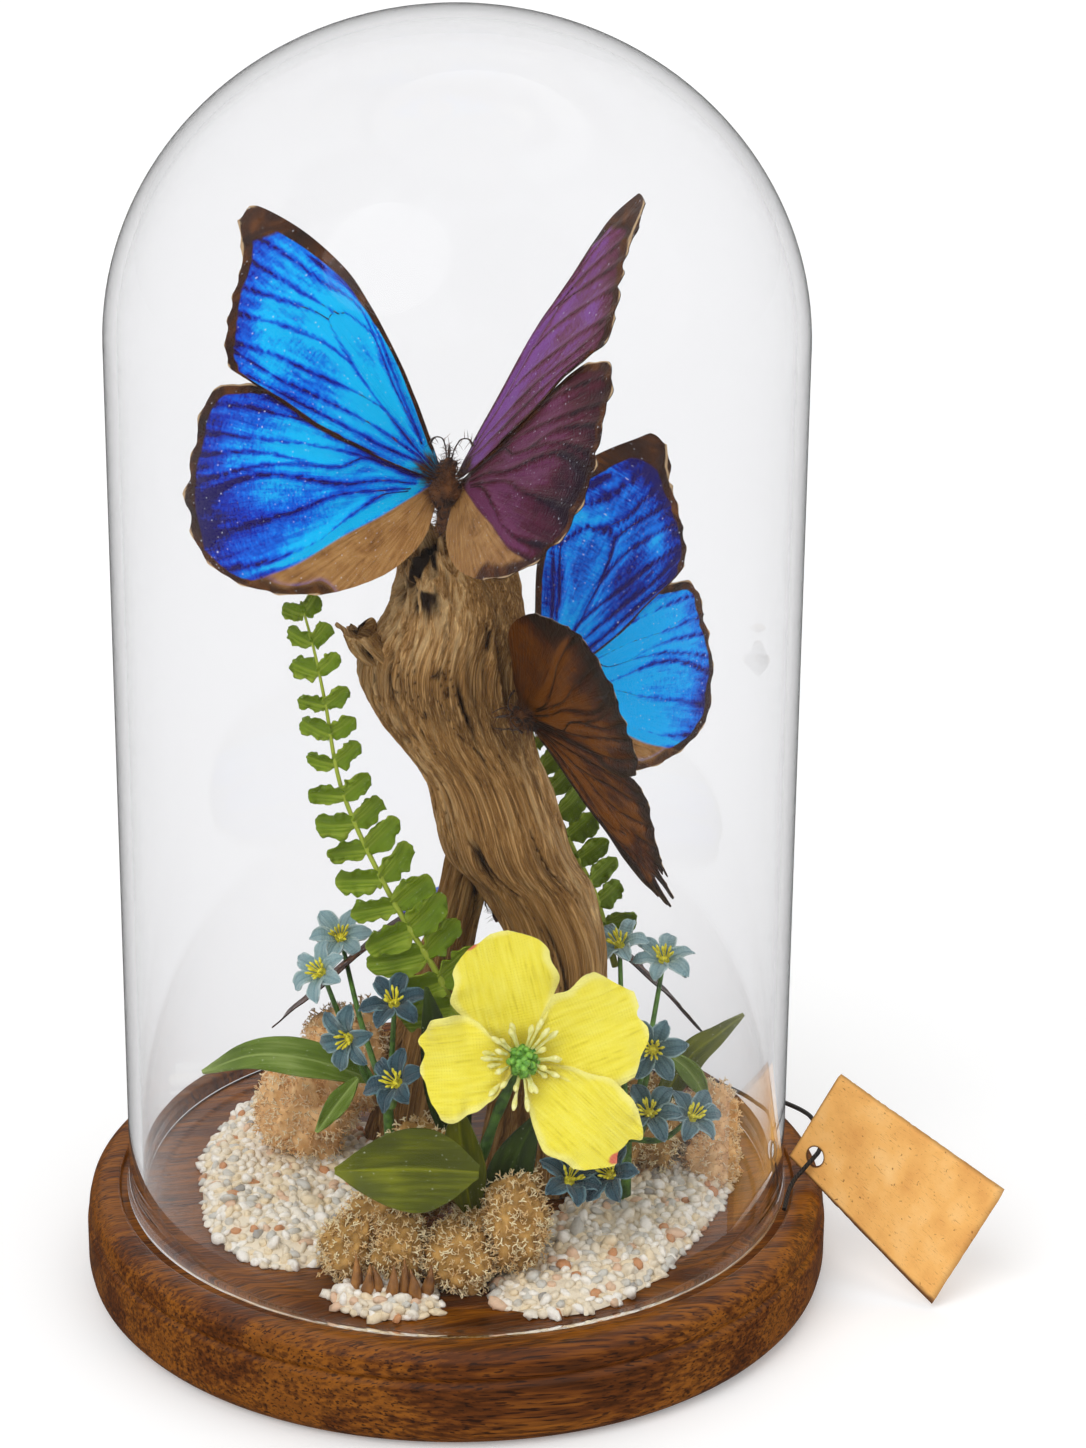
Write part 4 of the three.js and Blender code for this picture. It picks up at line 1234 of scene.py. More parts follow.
# ---------- butterflies ----------
# Outlines and veins are in shares of the forewing's length: along it, and across it towards the hindwing.
FOREWING = (
    (0.02, -0.026), (0.05, -0.04), (0.127, -0.06), (0.229, -0.088), (0.332, -0.112), (0.44, -0.129),
    (0.54, -0.14), (0.645, -0.146), (0.749, -0.13), (0.847, -0.101), (0.931, -0.062), (0.985, -0.025),
    (0.991, 0.008), (0.977, 0.041), (0.94, 0.066), (0.9, 0.086), (0.855, 0.135), (0.829, 0.179),
    (0.801, 0.208), (0.768, 0.248), (0.737, 0.279), (0.705, 0.307), (0.67, 0.331), (0.633, 0.338),
    (0.59, 0.322), (0.531, 0.298), (0.452, 0.263), (0.331, 0.219), (0.218, 0.158), (0.1, 0.09),
    (0.02, 0.04))
LEADING_EDGE, INNER_EDGE = FOREWING[:13], FOREWING[23:]
HINDWING = (
    (0.05, 0.035), (0.25, 0.14), (0.42, 0.232), (0.534, 0.295), (0.572, 0.343), (0.601, 0.389),
    (0.603, 0.438), (0.589, 0.475), (0.566, 0.505), (0.539, 0.539), (0.505, 0.575), (0.471, 0.618),
    (0.425, 0.66), (0.381, 0.702), (0.323, 0.73), (0.259, 0.755), (0.22, 0.768), (0.175, 0.76),
    (0.123, 0.747), (0.06, 0.718), (-0.023, 0.648), (-0.1, 0.539), (-0.15, 0.42), (-0.174, 0.311),
    (-0.168, 0.202), (-0.141, 0.125), (-0.1, 0.078))
FOREWING_VEINS = {
    "radius_4": ((0.094, -0.02), (0.302, -0.069), (0.454, -0.108), (0.543, -0.122), (0.662, -0.107),
        (0.765, -0.071)),
    "radius_5": ((0.094, -0.02), (0.293, -0.052), (0.463, -0.095), (0.575, -0.105), (0.699, -0.053),
        (0.813, -0.015), (0.91, 0.03)),
    "cell": ((0.03, -0.004), (0.23, 0.015), (0.428, 0.014), (0.577, -0.007), (0.574, -0.042),
        (0.555, -0.069), (0.463, -0.095)),
    "media_1": ((0.574, -0.042), (0.678, 0.005), (0.78, 0.051), (0.865, 0.089)),
    "media_2": ((0.577, -0.007), (0.622, 0.014), (0.692, 0.065), (0.809, 0.157)),
    "media_3": ((0.428, 0.014), (0.549, 0.058), (0.663, 0.138), (0.765, 0.23)),
    "cubitus_1": ((0.248, 0.012), (0.351, 0.06), (0.489, 0.144), (0.584, 0.196), (0.699, 0.29)),
    "cubitus_2": ((0.06, 0.007), (0.16, 0.045), (0.275, 0.095), (0.404, 0.165), (0.505, 0.224),
        (0.618, 0.273), (0.68, 0.3)),
    "anal": ((0.042, 0.01), (0.13, 0.068), (0.252, 0.134), (0.364, 0.194), (0.472, 0.249), (0.579, 0.303)),
}
HINDWING_VEINS = {
    "subcosta": ((0.025, 0.04), (0.144, 0.109), (0.306, 0.197), (0.419, 0.288), (0.51, 0.375),
        (0.582, 0.465)),
    "radius": ((0.017, 0.051), (0.166, 0.155), (0.282, 0.256), (0.398, 0.387), (0.53, 0.534)),
    "media_1": ((0.166, 0.155), (0.175, 0.19), (0.185, 0.234), (0.232, 0.293), (0.365, 0.411),
        (0.481, 0.592)),
    "media_2": ((0.185, 0.234), (0.311, 0.399), (0.366, 0.514), (0.411, 0.65)),
    "media_3": ((0.002, 0.071), (0.077, 0.158), (0.142, 0.266), (0.285, 0.419), (0.339, 0.533),
        (0.36, 0.693)),
    "cubitus_1": ((-0.002, 0.092), (0.115, 0.286), (0.15, 0.415), (0.192, 0.54), (0.258, 0.74)),
    "cubitus_2": ((-0.004, 0.103), (0.037, 0.188), (0.041, 0.34), (0.038, 0.436), (0.068, 0.581),
        (0.135, 0.735)),
}
FOLD_LINE = (
    (-0.034, 0.04), (-0.026, 0.12), (-0.017, 0.227), (0.004, 0.37), (0.016, 0.536), (0.048, 0.668),
    (0.06, 0.76))


def nearest(places: np.ndarray, line: np.ndarray) -> np.ndarray:
    """Returns the distance of each flat place to a line of close points."""
    flat = places.reshape(-1, 1, 2)
    return np.sqrt(((flat - line[None]) ** 2).sum(-1).min(1)).reshape(places.shape[:-1])


@dataclass
class WingPair:
    """The forewing and hindwing on one side, in a frame of their own.

    The frame's first axis runs from the root to the forewing's tip and its second towards the hindwing,
    and each is a forewing's length long.
    """

    side: str
    root: Point
    forward: Point
    across: Point
    upper: int  # 1 where the upper side looks along forward x across, -1 where it looks the other way
    finish: str
    slot: str
    bulge: float = 0.0  # how much further out the forewing's leading edge bends, as a share
    spread: float = 0.0  # how much broader the hindwing's inner fold is, as a share
    hind_finish: str = ""  # where it isn't the forewing's
    # painted sheen and shade for each wing, as the angle lights it:
    shine: tuple[float, float] = (0.0, 0.0)  # added to the brightness of the forewing and of the hindwing
    cup: float = 2.2
    blunt: float = 0.7  # how much of the hook below the forewing's tip is filled, as a share
    tip: float = 0.87  # where along the forewing its brown tip begins
    torn: float = 0.0  # how much of the forewing's tip is missing, as a share of its length
    seed: int = 1
    thickness: float = 0.28
    gap: float = 0.45  # of each wing's middle from the middle of both
    columns: int = 180
    rows: int = 50

    def level(self, hind: bool) -> float:
        """Returns how far a wing's middle is from the middle of both: the forewing lies on top."""
        return -self.gap if hind else self.gap

    def lift(self, places: np.ndarray, layer: np.ndarray | float, hind: bool) -> np.ndarray:
        """Puts flat places of the pair's frame into space, with the wing's gentle cup and waves.

        Args:
            places: the flat places.
            layer: how far each stands out from the middle of both wings, in millimetres.
            hind: whether this is the hindwing.

        Returns:
            The points in space.
        """
        root, ahead, over = (np.array(v, float) for v in (self.root, self.forward, self.across))
        out = unit(np.cross(ahead, over)) * self.upper
        s, t = places[..., 0], places[..., 1]
        if hind:
            s = np.where(s < 0, s * (1 + self.spread), s)
        else:
            t = np.where(t < 0, t * (1 + self.bulge * np.sin(math.pi * np.clip(s, 0, 1)) ** 0.6), t)
        reach = np.hypot(s, t)
        bend = self.cup * (np.sin(np.clip(reach, 0, 1.1) * math.pi * 0.8) - 0.5 * reach**2)
        waves = ripple(s * 5, t * 5, self.seed, 2) * 0.7 * reach
        height = bend + waves + layer
        return root + s[..., None] * ahead + t[..., None] * over + height[..., None] * out

    def values(self, places: np.ndarray, veins: dict[str, np.ndarray], edge: np.ndarray,
               hind: bool) -> dict[str, np.ndarray]:
        """Works out how bright, how near the rim and how deep in the fold each place is.

        Args:
            places: flat places in the pair's frame.
            veins: the wing's veins, as close points.
            edge: the wing's outer margin, as close points.
            hind: whether this is the hindwing.

        Returns:
            The values by name.
        """
        s, t = places[..., 0], places[..., 1]
        rim = nearest(places, edge)
        vein = np.min([nearest(places, v) for v in veins.values()], axis=0)
        patch = ripple(s * 7, t * 7, self.seed + 5, 2)
        reach = np.hypot(s, t)
        ripples = ripple(s * 60, t * 60, self.seed + 6, 2)
        bright = 0.56 + 0.2 * patch + 0.1 * ripples + 0.2 * bell(vein, 0.02, 0.008)
        bright -= 0.34 * step(0.14, 0.03, rim)
        # the wing's painted sheen and shade (shine), and its veins' own dark colour
        bright += self.shine[hind] - 0.5 * step(0.0075, 0.002, vein)
        teeth = bell(vein, 0.0, 0.025) * step(0.12, 0.04, rim)
        fold = np.zeros_like(s)
        if hind:
            line = curve(FOLD_LINE, 60)
            border = np.interp(t, line[:, 1], line[:, 0])
            inner = step(0.006, -0.006, s - border)
            low = step(0.075, 0.03, rim + 0.02 * patch) * inner
            fold = inner * (1 - 0.85 * low)
            dusk = bell(nearest(places, veins["media_3"]), 0, 0.025) * step(0.15, 0.4, reach)
            dusk += 0.8 * bell(nearest(places, veins["cubitus_1"]), 0.016, 0.02) * step(0.2, 0.5, t)
            outer = step(0.044, 0.018, rim + 0.01 * patch)
            margin = np.maximum.reduce([outer, 0.15 * dusk, low, 0.3 * teeth])
            bright = bright + 0.06 - 0.4 * dusk + 0.45 * bell(s - border, 0.025, 0.012)
            bright += 0.25 * bell(reach, 0.35, 0.2) - 0.2 * step(0.35, 0.75, t)
            # painted shadow: darker, with a thin brown line, where the forewing's inner edge lies over the
            # hindwing and shades it
            shade = nearest(places, curve(INNER_EDGE, 120))
            bright -= 0.75 * bell(shade, 0, 0.02) * step(0.62, 0.5, reach)
            margin = np.maximum(margin, 0.75 * bell(shade, 0, 0.012) * (s < 0.6))
        else:
            front = nearest(places, curve(LEADING_EDGE, 120))
            band = 0.008 + 0.034 * step(0.35, 0.95, s)
            # the thin brown line along the inner edge (back) is partly the wing's own dark border, partly
            # painted shadow that parts it from the hindwing
            back = nearest(places, curve(INNER_EDGE, 120))
            margin = np.maximum.reduce([
                step(0.05, 0.022, rim + 0.01 * patch),
                step(self.tip, self.tip + 0.055, s + 0.05 * patch - 0.1 * t),
                step(0.01, 0.0, front - band) * step(0.0, 0.1, s), 0.3 * teeth,
                0.8 * step(0.012, 0.004, back) * step(0.1, 0.2, s)])
            cell = nearest(places, veins["cell"])
            # painted sheen: brighter round the cell and in a round patch towards the tip, where light glints
            # off the scales; a little darker towards the hindwing near the root
            bright = bright + 0.36 * bell(cell, 0.03, 0.05) - 0.12 * step(0.1, 0.3, t) * step(0.45, 0.2, s)
            bright += 0.35 * bell(np.hypot(s - 0.66, (t - 0.17) * 1.3), 0, 0.06)
        fur = step(0.13, 0.02, reach + 0.02 * patch) * (1 - fold)
        margin = np.maximum(margin, 0.6 * fur)
        return {"bright": bright, "margin": margin, "fold": fold, "hem": step(0.009, 0.003, rim)}

    def wing(self, hind: bool) -> Solid:
        """Builds one wing: a thin scalloped sheet, and its veins as fine ribs.

        Args:
            hind: whether this is the hindwing.

        Returns:
            The wing's mesh.
        """
        outline = HINDWING if hind else FOREWING
        veins = {k: curve(v, 60) for k, v in (HINDWING_VEINS if hind else FOREWING_VEINS).items()}
        root = np.array([-0.045, -0.005] if hind else [-0.05, -0.012])
        line = curve(outline, self.columns)
        ends = ((0.534, 0.295), (-0.1, 0.539)) if hind else ((0.985, -0.025), (0.633, 0.338))
        start, end = (int(np.argmin(np.linalg.norm(line - np.array(p), axis=1))) for p in ends)
        edge = curve(line[start : end + 1], 260)
        part = np.clip((np.arange(self.columns) - start) / (end - start), 0, 1)
        scallops = 9 if hind else 7
        pulls = 0.016 * np.abs(np.sin(part * math.pi * scallops)) * (part > 0) * (part < 1)
        ragged = 0.006 * ripple(line[:, 0] * 40, line[:, 1] * 40, self.seed)
        pulls = pulls * step(0.0, 0.15, part)
        line = root + (line - root) * (1 - pulls + ragged * (part > 0))[:, None]
        if not hind:
            hook = bell(line[:, 0], 0.9, 0.045) * (line[:, 1] > 0.02)
            line += 0.03 * self.blunt * hook[:, None] * np.array([0.6, 1.0])
            line[:, 0] -= 0.018 * self.blunt * step(0.975, 1.0, line[:, 0])
        if self.torn and not hind:
            jags = 0.5 + ripple(line[:, 1] * 55, 0.0, self.seed + 9, 2)
            line[:, 0] = np.minimum(line[:, 0], 1.0 - self.torn * jags)
        out = 1 - (1 - np.linspace(0.02, 1, self.rows)) ** 1.4
        flat = root + out[:, None, None] * (line - root)[None]
        vein = np.min([nearest(flat, v) for v in veins.values()], axis=0)
        layer = self.level(hind) + 0.3 * bell(vein, 0, 0.012) - 0.3 * bell(vein, 0.045, 0.025)
        sheet = self.lift(flat, layer, hind)
        size = float(np.linalg.norm(self.forward))
        turn = np.arctan2(flat[..., 1] - root[1], flat[..., 0] - root[0])
        reach = np.linalg.norm(flat - root, axis=-1) * size
        place = np.stack([reach, turn * size * 0.5, 0 * reach], axis=-1)
        shown = self.values(flat, veins, edge, hind)
        order = np.arange(self.columns)[:: self.upper]
        marks = {k: v[:, order] for k, v in shown.items()}
        solid = Solid()
        solid.shell(sheet[:, order], self.thickness, place=place[:, order], **marks)
        for path in veins.values():
            self.rib(solid, path, hind)
        return solid

    def rib(self, solid: Solid, path: np.ndarray, hind: bool) -> None:
        """Adds a vein as a fine rib, thinner towards the margin.

        Args:
            solid: the wing's mesh.
            path: the vein's flat places.
            hind: whether this is the hindwing.
        """
        count = int(len(path) * 0.8)
        spine = self.lift(curve(path, count), self.level(hind) + 0.2, hind)
        radii = np.linspace(0.24, 0.13, count)
        solid.tube(spine, radii, 5, bright=0.0, margin=0.42, fold=0.0, under=0.0, hem=0.0)


@dataclass
class Butterfly:
    """A pinned and dried butterfly: furry body, feelers, coiled tongue, legs, and two pairs of wings."""

    name: str
    head: Point
    tail: Point
    pairs: tuple[WingPair, ...]
    up: Point  # the way its back looks
    radii: tuple[float, ...] = (0.6, 1.5, 1.6, 1.7, 2.9, 3.4, 3.2, 2.2, 1.4, 1.2, 1.1, 0.9, 0.3)
    feelers: bool = True

    def body(self) -> None:
        """Builds the body and what grows from the head."""
        head, tail = np.array(self.head, float), np.array(self.tail, float)
        t = np.linspace(0, 1, 60)
        back = unit(np.array(self.up, float))
        spine = head + (tail - head) * t[:, None] + back * (1.0 * np.sin(t * math.pi))[:, None]
        radii = stops(self.radii, t)
        rings = 1 + 0.06 * np.cos(t * 60) * step(0.5, 0.6, t)
        solid = Solid()
        solid.tube(spine, np.maximum(radii * rings, 0.1), 28, shade=0.3)
        ahead = unit(head - tail)
        across = unit(np.cross(ahead, back))
        for side in (-1, 1):
            self.ball(solid, head - ahead * 1.2 + across * side * 1.1 + back * 0.3, 0.75)
            if self.feelers:
                steps = ((0, 0, 0), (0.5, 2.6, 0.6), (1.4, 4.2, 1.6), (2.8, 4.4, 3.0), (3.8, 3.2, 4.0))
                path = [head + ahead * b + back * c * 0.6 + across * side * (a + 0.5) for a, b, c in steps]
                line = curve(path, 26)
                radii = np.concatenate([np.full(21, 0.14), np.linspace(0.2, 0.32, 5)])
                solid.tube(line, radii, 6, 1, shade=0.0)
        turn = np.linspace(0.4, 3.6 * math.pi, 70)
        width = 0.4 + turn * 0.14
        coil = ahead[None] * (np.cos(turn) * width)[:, None] - back[None] * (np.sin(turn) * width)[:, None]
        solid.tube(head + ahead * 1.4 - back * 1.5 + coil, np.linspace(0.1, 0.17, 70), 6, 1, shade=0.0)
        for side in (-1, 1):
            for place, spread in ((0.28, 2.2), (0.38, 0.2), (0.48, -2.0)):
                foot = head + (tail - head) * place
                path = [foot - back * 1.6 + across * side * 0.8,
                        foot - back * 3.0 + across * side * 2.2 + ahead * spread,
                        foot - back * 5.4 + across * side * 1.6 + ahead * spread * 1.6]
                solid.tube(curve(path, 10), np.linspace(0.22, 0.1, 10), 5, 1, shade=0.0)
        body = solid.make(f"fine_{self.name}_body", SHOP.take("fur", "chitin"))
        HAIR.on(body, SHAPES["hair"], "fur", len(self.name))
        settle(body, "insect_body", f"{self.name}_body")

    def ball(self, solid: Solid, at: np.ndarray, radius: float) -> None:
        """Adds an eye.

        Args:
            solid: the body's mesh.
            at: its centre.
            radius: its radius.
        """
        t = np.linspace(-0.98, 0.98, 9)
        path = at + np.array([0, 0, 1.0]) * (t * radius)[:, None]
        solid.tube(path, radius * np.sqrt(1 - t**2), 12, 1, shade=0.0)

    def build(self) -> None:
        """Builds the body and each wing."""
        self.body()
        for pair in self.pairs:
            for kind, hind in (("forewing", False), ("hindwing", True)):
                node = f"{self.name}_{pair.side}_{kind}"
                finish = pair.hind_finish if hind and pair.hind_finish else pair.finish
                dress(pair.wing(hind), node, pair.slot, finish, sharp=80)


BUTTERFLIES = (
    Butterfly("top_butterfly", (-1.4, -12.5, 185.5), (-3.2, -9, 168.5), (
        WingPair("left", (-4.6, -10, 182), (-36.2, 0.4, 52.8), (-49.4, -13.1, -33.6), 1, "blue",
                 "blue_wing", blunt=0.2, seed=3),
        # its blue scales are painted purple, and maroon on the hindwing, as they look at a grazing angle
        WingPair("right", (1.6, -10, 182), (35.5, 1.3, 55.6), (17.2, -58.4, -12.4), -1, "painted_grazing_purple",
                 "purple_wing", bulge=-0.6, hind_finish="painted_grazing_maroon", seed=8),
    ), (0.1, -0.9, 0.2)),
    Butterfly("side_butterfly", (11.5, -15, 132.5), (19.5, 4, 124.5), (
        # painted shade darkens the far forewing and painted sheen brightens its hindwing
        WingPair("far", (16.4, 5.4, 131), (25.3, 26.7, 46.6), (40.6, 24.8, -34), -1, "far_blue", "blue_wing",
                 bulge=1.3, tip=0.82, shine=(-0.3, 0.36), seed=14),
        WingPair("near", (15.5, -9.5, 128), (27.4, -33.6, -25.2), (6.1, -32, 44), -1, "brown", "brown_wing",
                 spread=0.6, seed=21, torn=0.15),
    ), (0.9, -0.2, 0.3)),
    Butterfly("rear_butterfly", (7.5, 15.5, 91), (8, 20.5, 71), (
        WingPair("left", (5, 17.5, 84), (-45.6, -3.6, -36.8), (8, 48, -9), -1, "brown", "brown_wing",
                 hind_finish="blue", seed=30),
        WingPair("right", (10.5, 17.5, 84), (43.5, -3.6, -36.8), (-8, 48, -9), 1, "brown", "brown_wing",
                 hind_finish="blue", seed=35),
    ), (0, 0.9, 0.3)),
)


# ---------- flowers, leaves and ferns ----------
NOWHERE = 9.0  # a share past a blade's end
BLADE_STEPS = 200
FROND_STEPS = 120
FACE_TILT = math.radians(21)  # how far the flowers look up
RIGHT = np.array([1.0, 0, 0])
FACE_UP = np.array([0, math.sin(FACE_TILT), math.cos(FACE_TILT)])
FACE_OUT = np.array([0, -math.cos(FACE_TILT), math.sin(FACE_TILT)])


@dataclass
class Blade:
    """A leaf, petal or leaflet: a thin sheet along a path, creased along its middle, with a wavy edge."""

    path: Any
    widths: tuple[float, ...]
    facing: Point
    thickness: float = 0.35
    crease: float = 0.2  # how far the sides rise, as a share of the half width
    ruffle: float = 0.5
    waves: float = 5.0
    rows: int = 40
    columns: int = 17
    blunt: float = 0.0  # how much shorter the sides are than the middle, where the tip is broad
    frill: float = 0.0  # how uneven its outline is, as a share of the width
    seed: int = 1

    def add_to(self, solid: Solid, slot: int = 0, **marks: float) -> None:
        """Adds the sheet to a mesh, with the marks that its finish reads.

        Args:
            solid: the mesh.
            slot: which of the piece's materials the sheet takes.
            **marks: how strong the painted shade near its foot and its pale midrib are, and where its flush
                     of dye
            is, as a share of its length and of its half width.
        """
        fine = curve(self.path, BLADE_STEPS)
        ways = rails(fine, self.facing)
        v = np.linspace(1, -1, self.columns)[None]
        tip = 1 - self.blunt * (np.abs(v) ** 3 + 0.3 * ripple(v * 2.6, 0.0, self.seed))
        t = np.linspace(0, 1, self.rows)[:, None] * np.minimum(tip, 1)
        at = np.minimum(np.round(t * (BLADE_STEPS - 1)).astype(int), BLADE_STEPS - 1)
        line, across, out = fine[at], ways[1][at], ways[2][at]
        half = np.maximum(stops(self.widths, t), 0.15) / 2
        half = half * (1 + self.frill * ripple(t * self.waves * 1.3, np.sign(v) * 3, self.seed + 70))
        reach = np.linalg.norm(np.diff(fine, axis=0), axis=1).sum()
        side = np.abs(v)
        wave = ripple(t * self.waves, v * 1.5, self.seed, 2)
        height = self.crease * half * (side - 0.35) + self.ruffle * wave * side**2
        sheet = line + across * (v * half)[..., None] + out * height[..., None]
        place = np.stack(np.broadcast_arrays(t * reach, v * half, 0.0), axis=-1).copy()
        pale = np.maximum(0.7 * bell(side * half, 0, 0.3), 0.5 * step(0.75, 1.0, t))
        spot = np.hypot(t - marks.get("spot_along", NOWHERE), 0.22 * (v - marks.get("spot_across", 0.0)))
        shown = {
            "edge": np.maximum(step(0.72, 1.0, side), step(0.9, 1.0, t)),
            # painted shade deep in the cup, near the foot
            "throat": step(0.3, 0.0, t) * marks.get("throat", 1.0),
            "pale": pale * marks.get("pale", 1.0),
            "flush": bell(spot, 0, 0.045),
        }
        solid.shell(sheet, self.thickness, slot, place=place, **shown)


def in_face(centre: Point, degrees: float, distance: float, lift: float = 0.0) -> np.ndarray:
    """Finds a point of a flower, in or over the plane that it looks out of.

    Args:
        centre: the flower's centre.
        degrees: the angle from its right.
        distance: how far from the centre.
        lift: how far out of the plane.

    Returns:
        The point.
    """
    angle = math.radians(degrees)
    flat = RIGHT * math.cos(angle) + FACE_UP * math.sin(angle)
    return np.array(centre, float) + flat * distance + FACE_OUT * lift


@dataclass
class YellowFlower:
    """The silk flower in front: four broad yellow petals, a bumpy green pistil, and its stem."""

    centre: Point = (14, -35, 65.3)
    petals: tuple[tuple[str, float, float, float, float, float], ...] = (
        ("top", 104, 26.6, 21, 0, -0.6), ("right", 22, 25.8, 22, 1.3, 9), ("lower", -43, 28.4, 19, 2.6, 0.2),
        ("left", 186, 20.8, 20, 3.9, 9))  # name, angle, length, width, lift, where across it has a red spot
    shares: tuple[float, ...] = (0.2, 0.56, 0.84, 0.98, 1.0, 0.96, 0.8)  # of its width, along a petal
    stamens: int = 26

    def petal(self, name: str, angle: float, length: float, width: float, lift: float, spot: float,
              seed: int) -> None:
        """Builds one petal, cupped and with a wavy rim.

        Args:
            name: which petal it is.
            angle: its angle from the flower's right, in degrees.
            length: how long it is.
            width: how wide it is.
            lift: how far it lies over the lowest petal.
            spot: where across it has a red spot; past the edge for none.
            seed: picks its ruffles.
        """
        steps = ((length * 0.35, 0.0), (length * 0.7, 1.2), (length, -1.4))
        path = [in_face(self.centre, angle, 2.4, lift + 0.2)]
        path += [in_face(self.centre, angle, d, lift + h) for d, h in steps]
        solid = Solid()
        widths = tuple(s * width for s in self.shares)
        blade = Blade(path, widths, FACE_OUT, ruffle=2.4, waves=4.6, rows=64, columns=47, blunt=0.26,
                      frill=0.1, seed=seed)
        blade.add_to(solid, spot_along=0.95 if spot > 0 else 0.92, spot_across=spot)
        dress(solid, f"yellow_petal_{name}", "yellow_silk", "yellow_silk", sharp=80)

    def middle(self) -> None:
        """Builds the pistil with its bumps, and the stamens round it."""
        solid = Solid()
        t = np.linspace(0, 1, 22)
        path = np.array([in_face(self.centre, 0, 0, -0.5 + 7.5 * s) for s in t])
        solid.tube(path, stops((2.0, 3.1, 3.2, 2.6, 1.3, 0.4), t), 30)
        rng = np.random.default_rng(4)
        for ring, (lift, radius) in enumerate(((2.2, 2.9), (3.8, 2.6), (5.2, 2.0), (6.4, 1.0))):
            for k in range(8 - ring):
                angle = 360 * k / (8 - ring) + 24 * ring
                foot = in_face(self.centre, angle, radius, lift + 0.9)
                way = unit(in_face(self.centre, angle, 1, 0.9) - np.array(self.centre, float))
                solid.tube(np.array([foot - way * 0.6, foot, foot + way * 0.45, foot + way * 0.6]),
                           np.array([0.7, 0.8, 0.55, 0.2]), 10)
        for k in range(self.stamens):
            angle = 360 * k / self.stamens + rng.uniform(-11, 11)
            reach, lift = rng.uniform(4.5, 10.0), rng.uniform(3.5, 8.0)
            steps = ((2.4, 2.6), (reach * 0.7, lift * 0.75), (reach, lift))
            path = [in_face(self.centre, angle, d, h) for d, h in steps]
            radii = np.concatenate([np.full(6, 0.3), [0.45, 0.62, 0.62, 0.25]])
            solid.tube(curve(path, 10), radii, 6, 1)
        dress(solid, "yellow_flower_centre", "pistil", "pistil", "pale_stamen", sharp=60)

    def stem(self) -> None:
        """Builds the stem."""
        solid = Solid()
        path = curve([in_face(self.centre, 0, 0, -1), (9, -32.5, 52), (5, -32, 38), (2, -29, 21)], 40)
        solid.tube(path, 1.1 + 0.12 * np.sin(np.linspace(0, 30, 40)), 14)
        dress(solid, "yellow_flower_stem", "stem", "stem")

    def build(self) -> None:
        """Builds the flower."""
        for seed, petal in enumerate(self.petals):
            self.petal(*petal, seed=seed + 3)
        self.middle()
        self.stem()


@dataclass
class BlueSpray:
    """A spray of small blue silk flowers on a forked stem."""

    side: str
    foot: Point
    fork: Point
    flowers: tuple[Point, ...]
    pale: tuple[int, ...] = ()  # numbers of the flowers drawn paler, in painted light, as they stand in the light
    deep: tuple[int, ...] = ()  # numbers of the flowers drawn darkest, in painted shade
    radius: float = 7.6
    petals: int = 6
    stamens: int = 11
    shares: tuple[float, ...] = (0.2, 0.3, 0.44, 0.54, 0.5, 0.34, 0.08)  # of its length, along a petal

    def flower(self, number: int, centre: Point) -> None:
        """Builds one flower: pointed petals, a green-yellow eye and a comb of stamens.

        Args:
            number: which flower of the spray it is.
            centre: its centre.
        """
        solid = Solid()
        rng = np.random.default_rng(number * 7 + len(self.side))
        nod = unit(FACE_OUT + RIGHT * rng.uniform(-0.9, 0.9) + FACE_UP * rng.uniform(-0.2, 1.2))
        axes = basis(nod, FACE_UP)
        middle = np.array(centre, float)
        start = rng.uniform(0, 60)
        for k in range(self.petals):
            angle = math.radians(start + 360 / self.petals * k + rng.uniform(-7, 7))
            way = axes[:, 0] * math.cos(angle) + axes[:, 1] * math.sin(angle)
            reach = self.radius * rng.uniform(0.85, 1.0)
            path = [middle + way * 0.7 - nod * 0.8, middle + way * reach * 0.3 + nod * 1.0,
                    middle + way * reach * 0.65 + nod * 1.9,
                    middle + way * reach + nod * rng.uniform(0.2, 1.6)]
            widths = tuple(w * reach for w in self.shares)
            petal = Blade(path, widths, nod, thickness=0.3, crease=0.3, ruffle=0.8, waves=4, rows=22,
                          columns=13, blunt=0.14, frill=0.12, seed=number * 9 + k)
            petal.add_to(solid)
        t = np.linspace(0, 1, 6)
        solid.tube(middle + nod * (t * 1.3 - 0.5)[:, None], 1.4 - 0.9 * t**2, 12, 1)
        for k in range(self.stamens):
            angle = math.radians(33 * k) + rng.uniform(-0.2, 0.2)
            way = axes[:, 0] * math.cos(angle) + axes[:, 1] * math.sin(angle)
            tip = middle + way * rng.uniform(1.4, 2.6) + nod * rng.uniform(2.8, 3.8)
            path = curve([middle + way * 0.6 + nod * 0.5, tip], 5)
            solid.tube(path, np.array([0.14, 0.14, 0.2, 0.34, 0.15]), 6, 1)
        # flowers that stand lit take the copy in painted light, the darkest the copy in painted shade
        shade = "pale_" if number in self.pale else "deep_" if number in self.deep else ""
        node = f"blue_flower_{self.side}_{number}"
        dress(solid, node, "blue_silk", f"{shade}blue_silk", "stamen", sharp=80)

    def build(self) -> None:
        """Builds the flowers and the stem."""
        for number, centre in enumerate(self.flowers, 1):
            self.flower(number, centre)
        solid = Solid()
        solid.tube(curve([self.foot, self.fork], 12), 1.1, 12)
        for centre in self.flowers:
            end = np.array(centre) - FACE_OUT * 1.2
            middle = np.array(self.fork) * 0.45 + end * 0.55 + np.array([0, 0, -3])
            solid.tube(curve([self.fork, middle, end], 16), np.linspace(0.75, 0.5, 16), 10)
        dress(solid, f"blue_spray_stem_{self.side}", "stem", "stem")


